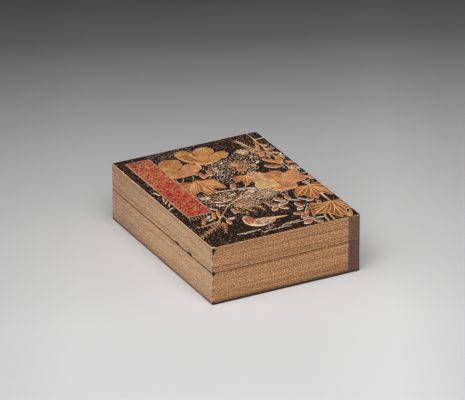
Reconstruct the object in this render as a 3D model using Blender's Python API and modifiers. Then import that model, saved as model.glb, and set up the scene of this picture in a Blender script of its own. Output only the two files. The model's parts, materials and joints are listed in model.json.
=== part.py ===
"""A lidded lacquer box in the form of a thread-bound book.

The base and the lift-off lid are its only two pieces. The lid's top is the book's cover, with a title
slip, the binding thread, flowers, leaves and a small bird in low raised lacquer.
Blender 4.5, in metres, +Z up. The origin is the middle of the underside, +X points to the spine and
+Y to the head of the book.
"""

import math

import bmesh
import bpy
from mathutils import Vector

MM = 0.001

# Box
BOX_WIDTH = 90 * MM
BOX_LENGTH = 120 * MM
BASE_HEIGHT = 18.7 * MM
LID_HEIGHT = 15.0 * MM
SEAM_GAP = 0.3 * MM

# Walls
LID_WALL = 2.5 * MM
LID_PANEL = 2.8 * MM
BASE_FLOOR = 3.0 * MM
LIP_THICKNESS = 1.2 * MM
LIP_RISE = 4.0 * MM
LIP_CLEARANCE = 0.3 * MM
LIP_OUTER_INSET = LID_WALL + LIP_CLEARANCE
BASE_WALL = LIP_OUTER_INSET + LIP_THICKNESS

# Edges
SPINE_HEAD_CORNER_RADIUS = 2.2 * MM
SPINE_TAIL_CORNER_RADIUS = 0.6 * MM
FORE_EDGE_CORNER_RADIUS = 0.5 * MM
INNER_CORNER_RADIUS = 0.8 * MM
RIM_SOFTENING = 0.4 * MM
CORNER_STEPS = 4
SINK = 0.7 * MM

# Title slip and binding thread on the cover
SLIP_WIDTH = 15.0 * MM
SLIP_LENGTH = 75.8 * MM
SLIP_FROM_FORE_EDGE = 5.4 * MM
SLIP_FROM_HEAD = 5.4 * MM
SLIP_BORDER = 0.9 * MM
SLIP_RELIEF = 0.30 * MM
SLIP_FIELD_DROP = 0.08 * MM
THREAD_WIDTH = 0.8 * MM
THREAD_RELIEF = 0.25 * MM
THREAD_FROM_SPINE = 6.0 * MM
STITCHES = 5
END_STITCH_FROM_END = 9.4 * MM

# Heights of the raised lacquer over the cover
STEM_RELIEF = 0.26 * MM
NARROW_RELIEF = 0.28 * MM
OVAL_RELIEF = 0.30 * MM
LEAF_RELIEF = 0.36 * MM
PETAL_RELIEF = 0.40 * MM
BIRD_RELIEF = 0.38 * MM
LEAF_CROWN = 0.08 * MM
PETAL_CROWN = 0.16 * MM
RELIEF_CHAMFER = 0.14 * MM
RELIEF_MARGIN = 0.6 * MM
BED_MARGIN = 1.2 * MM
BED_DEPTH = 0.3 * MM
LAYER_STEP = 0.011 * MM
LAYERS = 9

# Old chips: along the lid's rim at the fore-edge, measured from the head, and at the near corner
RIM_CHIPS = ((78.8 * MM, 2.9 * MM), (93.4 * MM, 3.9 * MM))
CHIP_DEPTH = 0.45 * MM
CHIP_HEIGHT = 0.8 * MM
CORNER_CHIP = 1.3 * MM
CORNER_CHIP_HEIGHT = 3.6 * MM

# Materials: colour, roughness, metallic
GOLD_PAGES = ("gold_page_lacquer", (0.40, 0.22, 0.11), 0.45, 0.35)
DARK_COVER = ("dark_cover_lacquer", (0.035, 0.025, 0.018), 0.3, 0.1)

# The picture is drawn on a plan of this size, which is stretched over the cover. Its places are x from
# the fore-edge and y from the head.
PLAN_WIDTH = 90
PLAN_LENGTH = 120
PETALS = (
    (
        (45.0, 9.2), (43.4, 6.6), (41.5, 4.6), (39.4, 4.0), (37.2, 5.4), (35.4, 6.6), (34.9, 9.6),
        (35.3, 13.0), (36.3, 16.4), (37.8, 19.6), (40.0, 21.2), (43.6, 21.6), (46.4, 18.6), (46.2, 13.6),
    ),
    (
        (41.2, 20.4), (40.4, 22.6), (42.0, 24.6), (44.6, 25.6), (47.6, 26.0), (50.8, 25.4), (53.6, 24.2),
        (55.4, 22.6), (53.0, 20.2), (48.6, 18.6), (44.0, 18.8),
    ),
    (
        (49.6, 18.4), (52.4, 16.2), (56.4, 14.7), (60.0, 14.4), (62.1, 15.7), (62.0, 18.2), (61.0, 20.8),
        (59.2, 22.8), (57.0, 22.2), (54.6, 23.0), (51.0, 22.6), (48.2, 20.8),
    ),
    (
        (45.2, 9.4), (46.8, 7.4), (49.0, 5.9), (51.6, 5.2), (54.2, 5.8), (56.1, 7.2), (57.2, 9.6),
        (57.0, 12.0), (56.0, 14.2), (53.6, 16.4), (50.6, 18.4), (46.6, 19.2), (44.6, 16.2), (44.2, 12.4),
    ),
    (
        (20.8, 30.4), (26.0, 29.8), (31.0, 30.0), (35.6, 30.2), (38.0, 31.4), (35.2, 33.2), (31.0, 34.4),
        (26.4, 34.5), (22.4, 34.0), (20.8, 32.6),
    ),
    (
        (20.7, 26.0), (20.7, 19.0), (21.2, 15.4), (22.6, 12.6), (25.0, 11.0), (27.8, 10.6), (30.4, 11.8),
        (32.8, 12.4), (33.9, 15.0), (33.7, 18.2), (32.8, 21.0), (31.0, 23.4), (28.0, 25.8), (24.6, 29.0),
        (21.4, 31.6),
    ),
    (
        (21.0, 32.0), (24.2, 28.4), (28.0, 25.6), (31.4, 22.8), (34.0, 21.2), (37.0, 20.9), (39.2, 22.8),
        (40.8, 24.4), (41.4, 27.2), (40.2, 29.8), (36.0, 30.6), (31.0, 31.2), (26.0, 32.6), (22.6, 33.4),
    ),
    (
        (66.4, 61.0), (65.6, 55.4), (66.4, 52.2), (68.5, 50.6), (71.2, 50.9), (73.6, 50.2), (75.9, 51.0),
        (77.5, 53.0), (77.6, 55.6), (76.0, 59.0), (74.0, 63.0), (71.0, 66.6), (68.4, 65.6),
    ),
    (
        (71.4, 69.6), (74.6, 66.6), (78.8, 63.6), (82.4, 61.9), (85.4, 61.6), (86.6, 63.6), (86.0, 66.6),
        (83.2, 68.1), (79.4, 68.7), (75.6, 70.0), (72.6, 71.0),
    ),
    (
        (71.0, 68.0), (71.8, 63.6), (73.8, 59.6), (76.5, 56.2), (79.0, 54.9), (82.0, 53.8), (84.9, 53.7),
        (86.3, 57.2), (85.0, 60.2), (82.6, 62.6), (79.4, 64.6), (75.6, 67.2), (72.6, 69.0),
    ),
    (
        (63.2, 70.2), (62.7, 72.0), (64.6, 74.1), (68.2, 75.1), (72.2, 75.0), (76.0, 74.4), (77.6, 71.4),
        (77.0, 69.2), (73.6, 67.6), (68.4, 67.8),
    ),
    (
        (68.7, 69.2), (68.5, 66.4), (67.4, 63.4), (65.6, 60.9), (62.8, 59.7), (59.8, 59.6), (57.4, 60.4),
        (56.2, 62.6), (56.5, 65.2), (58.6, 67.1), (62.0, 68.2), (65.4, 69.2),
    ),
)
LOBED_LEAVES = (
    (
        (20.7, 41.8), (24.4, 41.2), (28.0, 42.6), (31.0, 41.6), (34.6, 42.6), (38.0, 43.0), (40.6, 44.2),
        (40.9, 48.0), (41.5, 52.0), (41.7, 55.0), (40.9, 57.4), (38.4, 55.8), (35.4, 54.0), (34.7, 56.4),
        (34.8, 58.6), (33.0, 60.2), (30.8, 59.8), (28.4, 59.2), (27.6, 56.8), (26.8, 55.0), (24.4, 56.3),
        (22.2, 57.6), (20.7, 58.8),
    ),
    (
        (58.4, 48.2), (56.0, 47.2), (53.0, 46.9), (51.0, 48.6), (49.8, 51.4), (48.7, 54.1), (51.4, 53.3),
        (53.4, 53.0), (52.7, 56.0), (52.4, 58.2), (53.9, 59.6), (56.0, 57.4), (57.6, 56.8), (58.4, 58.8),
        (60.2, 55.0), (60.6, 50.4),
    ),
    (
        (74.8, 74.8), (78.4, 74.2), (81.8, 75.0), (84.2, 74.2), (87.0, 73.8), (89.4, 74.0), (89.4, 84.0),
        (89.4, 90.8), (87.2, 89.8), (85.2, 87.2), (82.8, 87.4), (81.0, 89.6), (79.0, 90.8), (77.0, 89.4),
        (75.6, 87.0), (74.8, 84.6), (72.4, 84.4), (69.8, 85.1), (70.4, 82.0), (71.6, 79.4), (73.4, 77.0),
    ),
    (
        (74.0, 95.4), (77.4, 98.6), (80.4, 97.8), (82.8, 97.4), (85.0, 98.4), (87.4, 98.0), (89.4, 99.0),
        (89.4, 109.2), (87.4, 110.4), (85.4, 112.0), (84.2, 114.6), (83.6, 119.3), (81.8, 116.4),
        (79.8, 118.8), (78.4, 115.6), (76.8, 113.4), (75.6, 110.4), (72.2, 109.6), (69.6, 109.0),
        (66.6, 110.2), (67.8, 105.8), (69.2, 102.6), (70.0, 99.6), (71.4, 96.8),
    ),
)
# Small leaf: x and y of its foot, x and y of its tip, width
OVAL_LEAVES = (
    (55.4, 90.2, 50.2, 94.6, 4.0), (56.0, 91.0, 59.0, 96.0, 3.8), (56.6, 90.0, 63.8, 87.2, 3.6),
    (55.0, 89.8, 51.4, 84.6, 4.2), (62.2, 86.2, 57.4, 81.0, 4.8), (65.0, 85.8, 65.4, 80.6, 3.8),
    (67.0, 97.0, 65.6, 90.4, 4.0), (66.6, 97.6, 62.8, 99.6, 3.4), (64.8, 104.0, 58.0, 102.8, 4.4),
    (65.4, 105.2, 60.0, 110.2, 4.6), (64.0, 113.6, 57.6, 116.6, 4.4), (65.4, 113.6, 68.0, 119.0, 4.4),
    (77.0, 91.2, 72.2, 91.2, 3.6), (44.2, 60.0, 47.2, 54.0, 3.8), (23.6, 93.0, 22.4, 98.6, 3.2),
    (30.4, 75.8, 26.2, 73.6, 3.4), (37.6, 69.6, 31.6, 72.4, 3.0), (32.6, 83.4, 30.8, 88.0, 2.8),
)
NARROW_LEAVES = (
    (82.2, 40.8, 76.0, 33.6, 3.8), (80.6, 46.8, 73.0, 41.6, 5.0), (83.2, 42.6, 85.4, 33.6, 3.6),
    (83.6, 9.6, 80.4, 19.0, 3.0), (84.0, 22.4, 88.0, 25.4, 3.0), (82.6, 25.0, 86.8, 29.6, 3.0),
    (81.0, 24.0, 76.2, 29.8, 3.6), (36.4, 41.0, 37.6, 34.0, 3.2), (41.0, 39.6, 42.8, 33.4, 2.8),
    (57.6, 41.6, 62.2, 32.0, 2.6), (58.8, 42.6, 66.4, 36.4, 2.4), (14.4, 86.6, 17.4, 84.2, 2.4),
    (24.4, 92.6, 28.6, 91.8, 2.2), (20.8, 88.6, 24.4, 79.0, 2.0), (85.0, 119.0, 88.6, 112.0, 2.2),
)
STEMS = (
    (
        (16.2, 94.6), (20.2, 90.0), (24.4, 85.6), (29.0, 80.4), (34.4, 75.8), (40.0, 72.6), (46.0, 69.0),
        (50.6, 65.4),
    ),
    ((20.0, 91.6), (14.6, 97.4), (8.6, 101.4), (1.6, 105.6)),
    ((19.6, 94.0), (18.2, 99.6), (15.6, 105.6)),
    ((33.0, 59.6), (38.0, 60.2), (43.6, 61.0), (49.4, 62.2), (52.6, 63.8)),
    ((74.0, 6.4), (75.6, 12.0), (77.0, 17.4), (78.6, 23.0)),
    ((81.6, 49.6), (82.0, 45.0), (83.6, 41.6), (88.6, 36.8)),
    ((55.2, 90.2), (58.8, 88.6), (63.4, 87.4), (65.6, 84.6)),
    ((70.8, 96.2), (68.8, 98.2), (67.0, 101.4), (65.2, 105.4)),
    ((83.2, 89.8), (83.6, 94.0), (83.9, 99.0)),
    ((28.8, 41.6), (31.0, 38.4), (31.8, 34.6)),
)
STEM_WIDTH = 0.8
STEM_TAPER = 0.35
BIRD = (
    (35.9, 92.8), (34.2, 94.0), (32.2, 95.2), (30.7, 97.6), (30.2, 100.4), (30.8, 103.4), (33.4, 106.2),
    (37.0, 107.8), (40.0, 107.4), (43.0, 106.0), (46.3, 104.4), (50.0, 103.9), (54.8, 103.2), (54.6, 102.4),
    (50.0, 101.9), (46.6, 101.8), (43.0, 100.8), (39.0, 99.8), (37.0, 98.6), (36.4, 96.6), (35.8, 95.0),
)

NARROW_LEAF_POINTS = 12
NARROW_LEAF_POINTED = 0.5
OVAL_LEAF_POINTS = 8

SEAM_TOP = BASE_HEIGHT + SEAM_GAP
COVER_TOP = SEAM_TOP + LID_HEIGHT

# Side of each upright corner along X and along Y, and the radii in that order
CORNERS = ((1, 1), (1, -1), (-1, 1), (-1, -1))
OUTER_RADII = (
    SPINE_HEAD_CORNER_RADIUS, SPINE_TAIL_CORNER_RADIUS, FORE_EDGE_CORNER_RADIUS, FORE_EDGE_CORNER_RADIUS,
)
INNER_RADII = 4 * (INNER_CORNER_RADIUS,)
RELIEF_RADII = (SPINE_HEAD_CORNER_RADIUS - RELIEF_MARGIN,) + 3 * (INNER_CORNER_RADIUS,)


def clear_scene():
    for obj in list(bpy.data.objects):
        bpy.data.objects.remove(obj, do_unlink=True)


def make_collection(name):
    collection = bpy.data.collections.new(name)
    bpy.context.scene.collection.children.link(collection)
    return collection


def make_material(name, color, roughness, metallic):
    material = bpy.data.materials.new(name)
    material.use_nodes = True
    shader = material.node_tree.nodes["Principled BSDF"]
    shader.inputs["Base Color"].default_value = (*color, 1.0)
    shader.inputs["Roughness"].default_value = roughness
    shader.inputs["Metallic"].default_value = metallic
    return material


def add_object(name, bm, collection, helper=False):
    """Turns a bmesh into an object. A helper is a cutter or a form that another object takes in."""
    mesh = bpy.data.meshes.new(name)
    bmesh.ops.recalc_face_normals(bm, faces=bm.faces)
    bm.to_mesh(mesh)
    bm.free()
    obj = bpy.data.objects.new(name, mesh)
    collection.objects.link(obj)
    if helper:
        obj.hide_render = True
        obj.display_type = "WIRE"
    return obj


def add_block(name, inset, bottom, top, radii, collection, helper=False):
    """A block with the box's outline drawn in by inset. radii are its corners', in the order of CORNERS."""
    bm = bmesh.new()
    bmesh.ops.create_cube(bm, size=1.0)
    size = Vector((BOX_WIDTH - 2 * inset, BOX_LENGTH - 2 * inset, top - bottom))
    bmesh.ops.scale(bm, vec=size, verts=bm.verts)
    bmesh.ops.translate(bm, vec=(0, 0, (bottom + top) / 2), verts=bm.verts)
    for (side, end), radius in zip(CORNERS, radii):
        corner = [
            edge
            for edge in bm.edges
            if all(side * vert.co.x > 0 and end * vert.co.y > 0 for vert in edge.verts)
            and abs(edge.verts[0].co.z - edge.verts[1].co.z) > (top - bottom) / 2
        ]
        bmesh.ops.bevel(
            bm, geom=corner, offset=radius, offset_type="OFFSET", segments=CORNER_STEPS, profile=0.5,
            affect="EDGES",
        )
    return add_object(name, bm, collection, helper)


def soften_rims(obj):
    """Rounds the block's upper and lower outer edges a little."""
    bevel = obj.modifiers.new("softened rims", "BEVEL")
    bevel.width = RIM_SOFTENING
    bevel.segments = 2
    bevel.limit_method = "ANGLE"
    bevel.angle_limit = math.radians(60)
    bevel.use_clamp_overlap = False


def add_boolean(obj, operation, other):
    """Joins or cuts obj with another object."""
    boolean = obj.modifiers.new(operation.lower(), "BOOLEAN")
    boolean.operation = operation
    boolean.solver = "EXACT"
    boolean.object = other
    return boolean


def make_base(parts, cutters):
    """The lower half: floor, walls and the lip that stands inside the lid's walls."""
    base = add_block("base", 0, 0, BASE_HEIGHT, OUTER_RADII, parts)
    soften_rims(base)
    lip_top = BASE_HEIGHT + LIP_RISE
    lip = add_block("lip_form", LIP_OUTER_INSET, BASE_FLOOR, lip_top, INNER_RADII, cutters, helper=True)
    hollow = add_block("base_hollow", BASE_WALL, BASE_FLOOR, 2 * lip_top, INNER_RADII, cutters, helper=True)
    add_boolean(base, "UNION", lip)
    add_boolean(base, "DIFFERENCE", hollow)
    add_boolean(base, "DIFFERENCE", corner_chip("base_corner_chip", BASE_HEIGHT, CHIP_HEIGHT, cutters))
    return base


def make_lid(parts, cutters):
    """The upper half, which drops over the lip and carries the cover's picture."""
    lid = add_block("lid", 0, SEAM_TOP, COVER_TOP, OUTER_RADII, parts)
    soften_rims(lid)
    hollow = add_block("lid_hollow", LID_WALL, 0, COVER_TOP - LID_PANEL, INNER_RADII, cutters, helper=True)
    add_boolean(lid, "UNION", cover_relief(cutters))
    add_boolean(lid, "DIFFERENCE", hollow)
    for number, (from_head, length) in enumerate(RIM_CHIPS, 1):
        add_boolean(lid, "DIFFERENCE", rim_chip(f"rim_chip_{number}", from_head, length, cutters))
    chip = corner_chip("lid_corner_chip", COVER_TOP, CORNER_CHIP_HEIGHT, cutters)
    add_boolean(lid, "DIFFERENCE", chip)
    return lid


def rim_chip(name, from_head, length, cutters):
    """A shallow scallop broken out of the lid's lower rim on the fore-edge."""
    bm = bmesh.new()
    bmesh.ops.create_icosphere(bm, subdivisions=1, radius=1.0)
    bmesh.ops.scale(bm, vec=(CHIP_DEPTH, length / 2, CHIP_HEIGHT), verts=bm.verts)
    place = Vector((-BOX_WIDTH / 2, BOX_LENGTH / 2 - from_head, SEAM_TOP))
    bmesh.ops.translate(bm, vec=place, verts=bm.verts)
    return add_object(name, bm, cutters, helper=True)


def corner_chip(name, top, height, cutters):
    """A splinter gone from the near corner of the fore-edge and the tail, tapering to nothing downwards."""
    bm = bmesh.new()
    bmesh.ops.create_cone(
        bm, cap_ends=True, segments=6, radius1=0.1 * CORNER_CHIP, radius2=CORNER_CHIP, depth=2 * height
    )
    place = Vector((-BOX_WIDTH / 2, -BOX_LENGTH / 2, top))
    bmesh.ops.translate(bm, vec=place, verts=bm.verts)
    return add_object(name, bm, cutters, helper=True)


def spot(x, y):
    """A place on the cover, from its place on the plan."""
    return Vector(((x / PLAN_WIDTH - 0.5) * BOX_WIDTH, (0.5 - y / PLAN_LENGTH) * BOX_LENGTH))


def across(heading, width):
    """Half of a width on the plan, as a vector at right angles to a heading."""
    return heading.orthogonal().normalized() * width / PLAN_WIDTH * BOX_WIDTH / 2


def leaf_outline(foot, tip, width, count, pointed):
    """A leaf from its foot to its tip. It narrows towards the tip by the share pointed."""
    reach = tip - foot
    half = across(reach, width)
    points = []
    for step in range(count):
        angle = 2 * math.pi * step / count
        along = (1 + math.cos(angle)) / 2
        points.append(foot + reach * along + half * math.sin(angle) * (1 - pointed * along))
    return points


def stem_outline(points):
    """A stroke through the points that thins towards its end."""
    last = len(points) - 1
    sides = ([], [])
    for number, point in enumerate(points):
        heading = points[min(number + 1, last)] - points[max(number - 1, 0)]
        half = across(heading, STEM_WIDTH * (1 - STEM_TAPER * number / last))
        sides[0].append(point + half)
        sides[1].append(point - half)
    return sides[0] + sides[1][::-1]


def rectangle_outline(low, high):
    return [Vector((low.x, low.y)), Vector((high.x, low.y)), Vector((high.x, high.y)), Vector((low.x, high.y))]


def figure_outlines():
    """(name, outline on the cover, height, crown) of each raised figure."""
    figures = []
    for points in STEMS:
        figures.append(("stem", stem_outline([spot(*point) for point in points]), STEM_RELIEF, 0))
    for x, y, tip_x, tip_y, width in NARROW_LEAVES:
        outline = leaf_outline(spot(x, y), spot(tip_x, tip_y), width, NARROW_LEAF_POINTS, NARROW_LEAF_POINTED)
        figures.append(("narrow_leaf", outline, NARROW_RELIEF, LEAF_CROWN))
    for x, y, tip_x, tip_y, width in OVAL_LEAVES:
        outline = leaf_outline(spot(x, y), spot(tip_x, tip_y), width, OVAL_LEAF_POINTS, 0)
        figures.append(("oval_leaf", outline, OVAL_RELIEF, PETAL_CROWN))
    for points in LOBED_LEAVES:
        figures.append(("lobed_leaf", [spot(*point) for point in points], LEAF_RELIEF, 0))
    for points in PETALS:
        figures.append(("petal", [spot(*point) for point in points], PETAL_RELIEF, PETAL_CROWN))
    figures.append(("bird", [spot(*point) for point in BIRD], BIRD_RELIEF, 0))
    return figures


def raised_form(name, outline, height, crown, collection):
    """A low form on the cover: a disc drawn to the outline and raised, with its upper edge chamfered.

    A crown lifts the middle of its upper face, so that the form is domed.
    """
    bm = bmesh.new()
    made = bmesh.ops.create_circle(bm, cap_ends=True, segments=len(outline), radius=1.0)
    for vert, point in zip(made["verts"], outline):
        vert.co = Vector((point[0], point[1], COVER_TOP - SINK))
    raised = bmesh.ops.extrude_face_region(bm, geom=bm.faces[:])["geom"]
    top = [item for item in raised if isinstance(item, bmesh.types.BMVert)]
    bmesh.ops.translate(bm, vec=(0, 0, SINK + height), verts=top)
    rim = [edge for edge in bm.edges if all(vert in top for vert in edge.verts)]
    bmesh.ops.bevel(bm, geom=rim, offset=RELIEF_CHAMFER, offset_type="OFFSET", segments=1, affect="EDGES")
    if crown:
        upper = max(bm.faces, key=lambda each: (round(each.calc_center_median().z, 6), len(each.verts)))
        bm.normal_update()
        bmesh.ops.poke(bm, faces=[upper], offset=math.copysign(crown, upper.normal.z))
    return add_object(name, bm, collection, helper=True)


def title_slip(cutters):
    """The raised title slip: a flat field inside a narrow border."""
    left = -BOX_WIDTH / 2 + SLIP_FROM_FORE_EDGE
    top = BOX_LENGTH / 2 - SLIP_FROM_HEAD
    low = Vector((left, top - SLIP_LENGTH))
    high = Vector((left + SLIP_WIDTH, top))
    bm = bmesh.new()
    bmesh.ops.create_cube(bm, size=1.0)
    bmesh.ops.scale(bm, vec=(SLIP_WIDTH, SLIP_LENGTH, SINK + SLIP_RELIEF), verts=bm.verts)
    middle = (low + high) / 2
    place = (middle.x, middle.y, COVER_TOP + (SLIP_RELIEF - SINK) / 2)
    bmesh.ops.translate(bm, vec=place, verts=bm.verts)
    bm.faces.ensure_lookup_table()
    face = max(bm.faces, key=lambda each: each.calc_center_median().z)
    bmesh.ops.inset_region(bm, faces=[face], thickness=SLIP_BORDER, depth=0)
    bmesh.ops.translate(bm, vec=(0, 0, -SLIP_FIELD_DROP), verts=face.verts)
    return add_object("title_slip", bm, cutters, helper=True)


def thread_outlines():
    """The binding thread: one long run beside the spine and a stitch from it to the spine at each hole."""
    across = BOX_WIDTH / 2 - THREAD_FROM_SPINE
    half = THREAD_WIDTH / 2
    end = BOX_LENGTH / 2
    runs = [rectangle_outline(Vector((across - half, -end)), Vector((across + half, end)))]
    span = BOX_LENGTH - 2 * END_STITCH_FROM_END
    for stitch in range(STITCHES):
        y = -span / 2 + span * stitch / (STITCHES - 1)
        low = Vector((across, y - half))
        high = Vector((BOX_WIDTH / 2, y + half))
        runs.append(rectangle_outline(low, high))
    return runs


def cover_relief(cutters):
    """All that is raised on the cover, as one form that is cut off at the cover's margin.

    The forms stand on a thin bed inside the lid's panel. Each is a hair higher than the one before, so
    that no two of them share an upper face.
    """
    forms = make_collection("relief_forms")
    runs = [("thread", outline, THREAD_RELIEF, 0) for outline in thread_outlines()]
    for number, (name, outline, height, crown) in enumerate(runs + figure_outlines(), 1):
        raised = height + number % LAYERS * LAYER_STEP
        raised_form(f"{name}_{number}", outline, raised, crown, forms)
    bed_top = COVER_TOP - BED_DEPTH
    relief = add_block("relief", BED_MARGIN, bed_top - 2 * SINK, bed_top, RELIEF_RADII, cutters, helper=True)
    title_slip(forms)
    union = add_boolean(relief, "UNION", None)
    union.operand_type = "COLLECTION"
    union.collection = forms
    field = add_block(
        "cover_field", RELIEF_MARGIN, COVER_TOP - 4 * SINK, COVER_TOP + 4 * SINK, RELIEF_RADII, cutters,
        helper=True,
    )
    add_boolean(relief, "INTERSECT", field)
    return relief


def main():
    clear_scene()
    parts = make_collection("book_box")
    cutters = make_collection("cutters")
    base = make_base(parts, cutters)
    lid = make_lid(parts, cutters)
    base.data.materials.append(make_material(*GOLD_PAGES))
    lid.data.materials.append(make_material(*DARK_COVER))


main()
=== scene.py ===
"""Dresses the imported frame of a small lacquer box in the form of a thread-bound book.

The lid and the base get lined page edges, a sprinkled black cover and worn rims. On the cover lie a
title slip, the binding thread, and autumn flowers, leaves and a bird in raised gold, silver and red.
All lengths are in metres. Places on the cover are given in millimetres from the fore-edge and from
the head of the book.
"""

from __future__ import annotations

import json
import logging
import math
import random
from collections.abc import Callable, Sequence
from dataclasses import dataclass
from enum import Enum, IntEnum

import bpy
from bpy.types import Mesh, Node, NodeSocket, NodeTree, Object
from mathutils import Matrix, Vector, noise

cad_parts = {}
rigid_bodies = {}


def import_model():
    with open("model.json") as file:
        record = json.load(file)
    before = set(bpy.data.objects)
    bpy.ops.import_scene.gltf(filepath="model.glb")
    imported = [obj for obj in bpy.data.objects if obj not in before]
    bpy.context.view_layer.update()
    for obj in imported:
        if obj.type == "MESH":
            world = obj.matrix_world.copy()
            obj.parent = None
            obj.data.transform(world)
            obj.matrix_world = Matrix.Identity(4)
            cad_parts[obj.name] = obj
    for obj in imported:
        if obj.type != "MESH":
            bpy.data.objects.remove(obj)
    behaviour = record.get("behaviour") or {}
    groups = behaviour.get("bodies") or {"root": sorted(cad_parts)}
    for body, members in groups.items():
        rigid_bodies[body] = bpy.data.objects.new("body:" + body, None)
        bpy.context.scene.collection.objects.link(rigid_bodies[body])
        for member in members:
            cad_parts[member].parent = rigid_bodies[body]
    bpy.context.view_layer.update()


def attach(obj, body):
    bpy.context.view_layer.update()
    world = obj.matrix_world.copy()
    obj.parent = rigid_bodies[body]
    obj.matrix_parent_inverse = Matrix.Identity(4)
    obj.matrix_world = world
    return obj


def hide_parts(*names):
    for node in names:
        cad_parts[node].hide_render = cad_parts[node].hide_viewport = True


MM = 0.001
LOG = logging.getLogger("book_box")

Color = tuple[float, float, float, float]
Marks = tuple[float, float, float]
Spot = tuple[float, float]
Numbers = tuple[float, ...]
Placed = tuple[Vector, Marks]
Place = Callable[[Vector], Placed]
Rim = Callable[[float], Vector]
Carve = Callable[[Vector, float], Marks]


@dataclass(frozen=True)
class BoxSizes:
    """The box's main sizes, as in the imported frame."""

    width: float = 90 * MM
    length: float = 120 * MM
    base_top: float = 18.7 * MM
    lid_bottom: float = 19.0 * MM
    cover_top: float = 34.0 * MM
    lid_wall: float = 2.5 * MM
    lid_panel: float = 2.8 * MM
    base_floor: float = 3.0 * MM
    lip_inset: float = 2.8 * MM
    lip_thickness: float = 1.2 * MM
    lip_rise: float = 4.0 * MM
    spine_head_radius: float = 2.2 * MM
    spine_tail_radius: float = 0.6 * MM
    fore_radius: float = 0.5 * MM
    inner_radius: float = 0.8 * MM
    cloth_width: float = 7.2 * MM
    cloth_wrap: float = 8.5 * MM


BOX = BoxSizes()


def linear(value: float) -> float:
    """A channel's linear share, from its screen value of 0 to 255."""
    share = value / 255
    return share / 12.92 if share <= 0.04045 else ((share + 0.055) / 1.055) ** 2.4


def srgb(red: float, green: float, blue: float) -> Color:
    """The linear colour of three screen values."""
    return (linear(red), linear(green), linear(blue), 1.0)


def smooth(low: float, high: float, value: float) -> float:
    """Rises smoothly from 0 at low to 1 at high."""
    share = min(max((value - low) / (high - low), 0.0), 1.0)
    return share * share * (3 - 2 * share)


def uneven(x: float, y: float, z: float) -> float:
    """Soft noise about 0 at a place."""
    return noise.noise(Vector((x, y, z)))


def cover_point(x_mm: float, y_mm: float) -> Vector:
    """A place on the cover, so many millimetres from the fore-edge and from the head."""
    return Vector((x_mm * MM - BOX.width / 2, BOX.length / 2 - y_mm * MM))


def cover_path(*numbers: float) -> list[Vector]:
    """Places on the cover, from the x and y of one after another in millimetres."""
    return [cover_point(x_mm, y_mm) for x_mm, y_mm in zip(numbers[::2], numbers[1::2])]


def heading(degrees: float) -> Vector:
    """A unit vector on the cover, turned from +X towards +Y."""
    angle = math.radians(degrees)
    return Vector((math.cos(angle), math.sin(angle)))


def deselect_all() -> None:
    """Goes back to object mode and clears the selection."""
    if bpy.context.mode != "OBJECT":
        bpy.ops.object.mode_set(mode="OBJECT")
    bpy.ops.object.select_all(action="DESELECT")


def enter_edit() -> None:
    """Opens the active mesh for editing with all of it selected."""
    bpy.ops.object.mode_set(mode="EDIT")
    bpy.ops.mesh.select_all(action="SELECT")


def leave_edit() -> Object:
    """Goes back to object mode and gives the object that was edited."""
    bpy.ops.object.mode_set(mode="OBJECT")
    return bpy.context.object


def unselect_mesh() -> None:
    """Deselects all of the active mesh."""
    enter_edit()
    bpy.ops.mesh.select_all(action="DESELECT")
    leave_edit()


def turn_outwards() -> Object:
    """Turns the faces of the mesh in edit mode outwards and goes back to object mode.

    Returns:
        Its object.
    """
    bpy.ops.mesh.select_all(action="SELECT")
    bpy.ops.mesh.normals_make_consistent(inside=False)
    return leave_edit()


def set_marks(mesh: Mesh, marks: Sequence[Marks]) -> None:
    """Stores three marks for each point of a mesh, for its materials to read."""
    attribute = mesh.attributes.new("marks", "FLOAT_COLOR", "POINT")
    attribute.data.foreach_set("color", [value for mark in marks for value in (*mark, 1.0)])


def coat(mesh: Mesh, looks: Sequence[str]) -> None:
    """Gives a mesh the materials of these names, in slot order."""
    for look in looks:
        mesh.materials.append(bpy.data.materials[look])


@dataclass(frozen=True)
class Pattern:
    """A small mesh that was modelled once and is copied into many places."""

    points: tuple[Vector, ...]
    faces: tuple[tuple[int, ...], ...]


def taken_pattern(obj: Object) -> Pattern:
    """Reads a modelled object into a pattern and removes the object.

    Args:
        obj: The modelled object.

    Returns:
        Its points and faces.
    """
    mesh = obj.data
    points = tuple(vert.co.copy() for vert in mesh.vertices)
    pattern = Pattern(points, tuple(tuple(face.vertices) for face in mesh.polygons))
    bpy.data.objects.remove(obj, do_unlink=True)
    bpy.data.meshes.remove(mesh)
    return pattern


def modelled_disc(spokes: int, insets: Sequence[float]) -> Pattern:
    """Models a unit drum whose upper face is cut into rings round a pole.

    Args:
        spokes: Points round the rim.
        insets: How far each ring lies inside the one before.

    Returns:
        The drum. Its rim is at radius 1, its upper face at height 0 and its foot at height -1.
    """
    deselect_all()
    bpy.ops.mesh.primitive_circle_add(vertices=spokes, radius=1.0, fill_type="NGON", location=(0, 0, -1))
    bpy.ops.object.transform_apply(location=True, rotation=True, scale=True)
    enter_edit()
    bpy.ops.mesh.extrude_region_move(TRANSFORM_OT_translate={"value": (0, 0, 1)})
    for inset in insets:
        bpy.ops.mesh.inset(thickness=inset, depth=0)
    bpy.ops.mesh.poke()
    return taken_pattern(turn_outwards())


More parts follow.
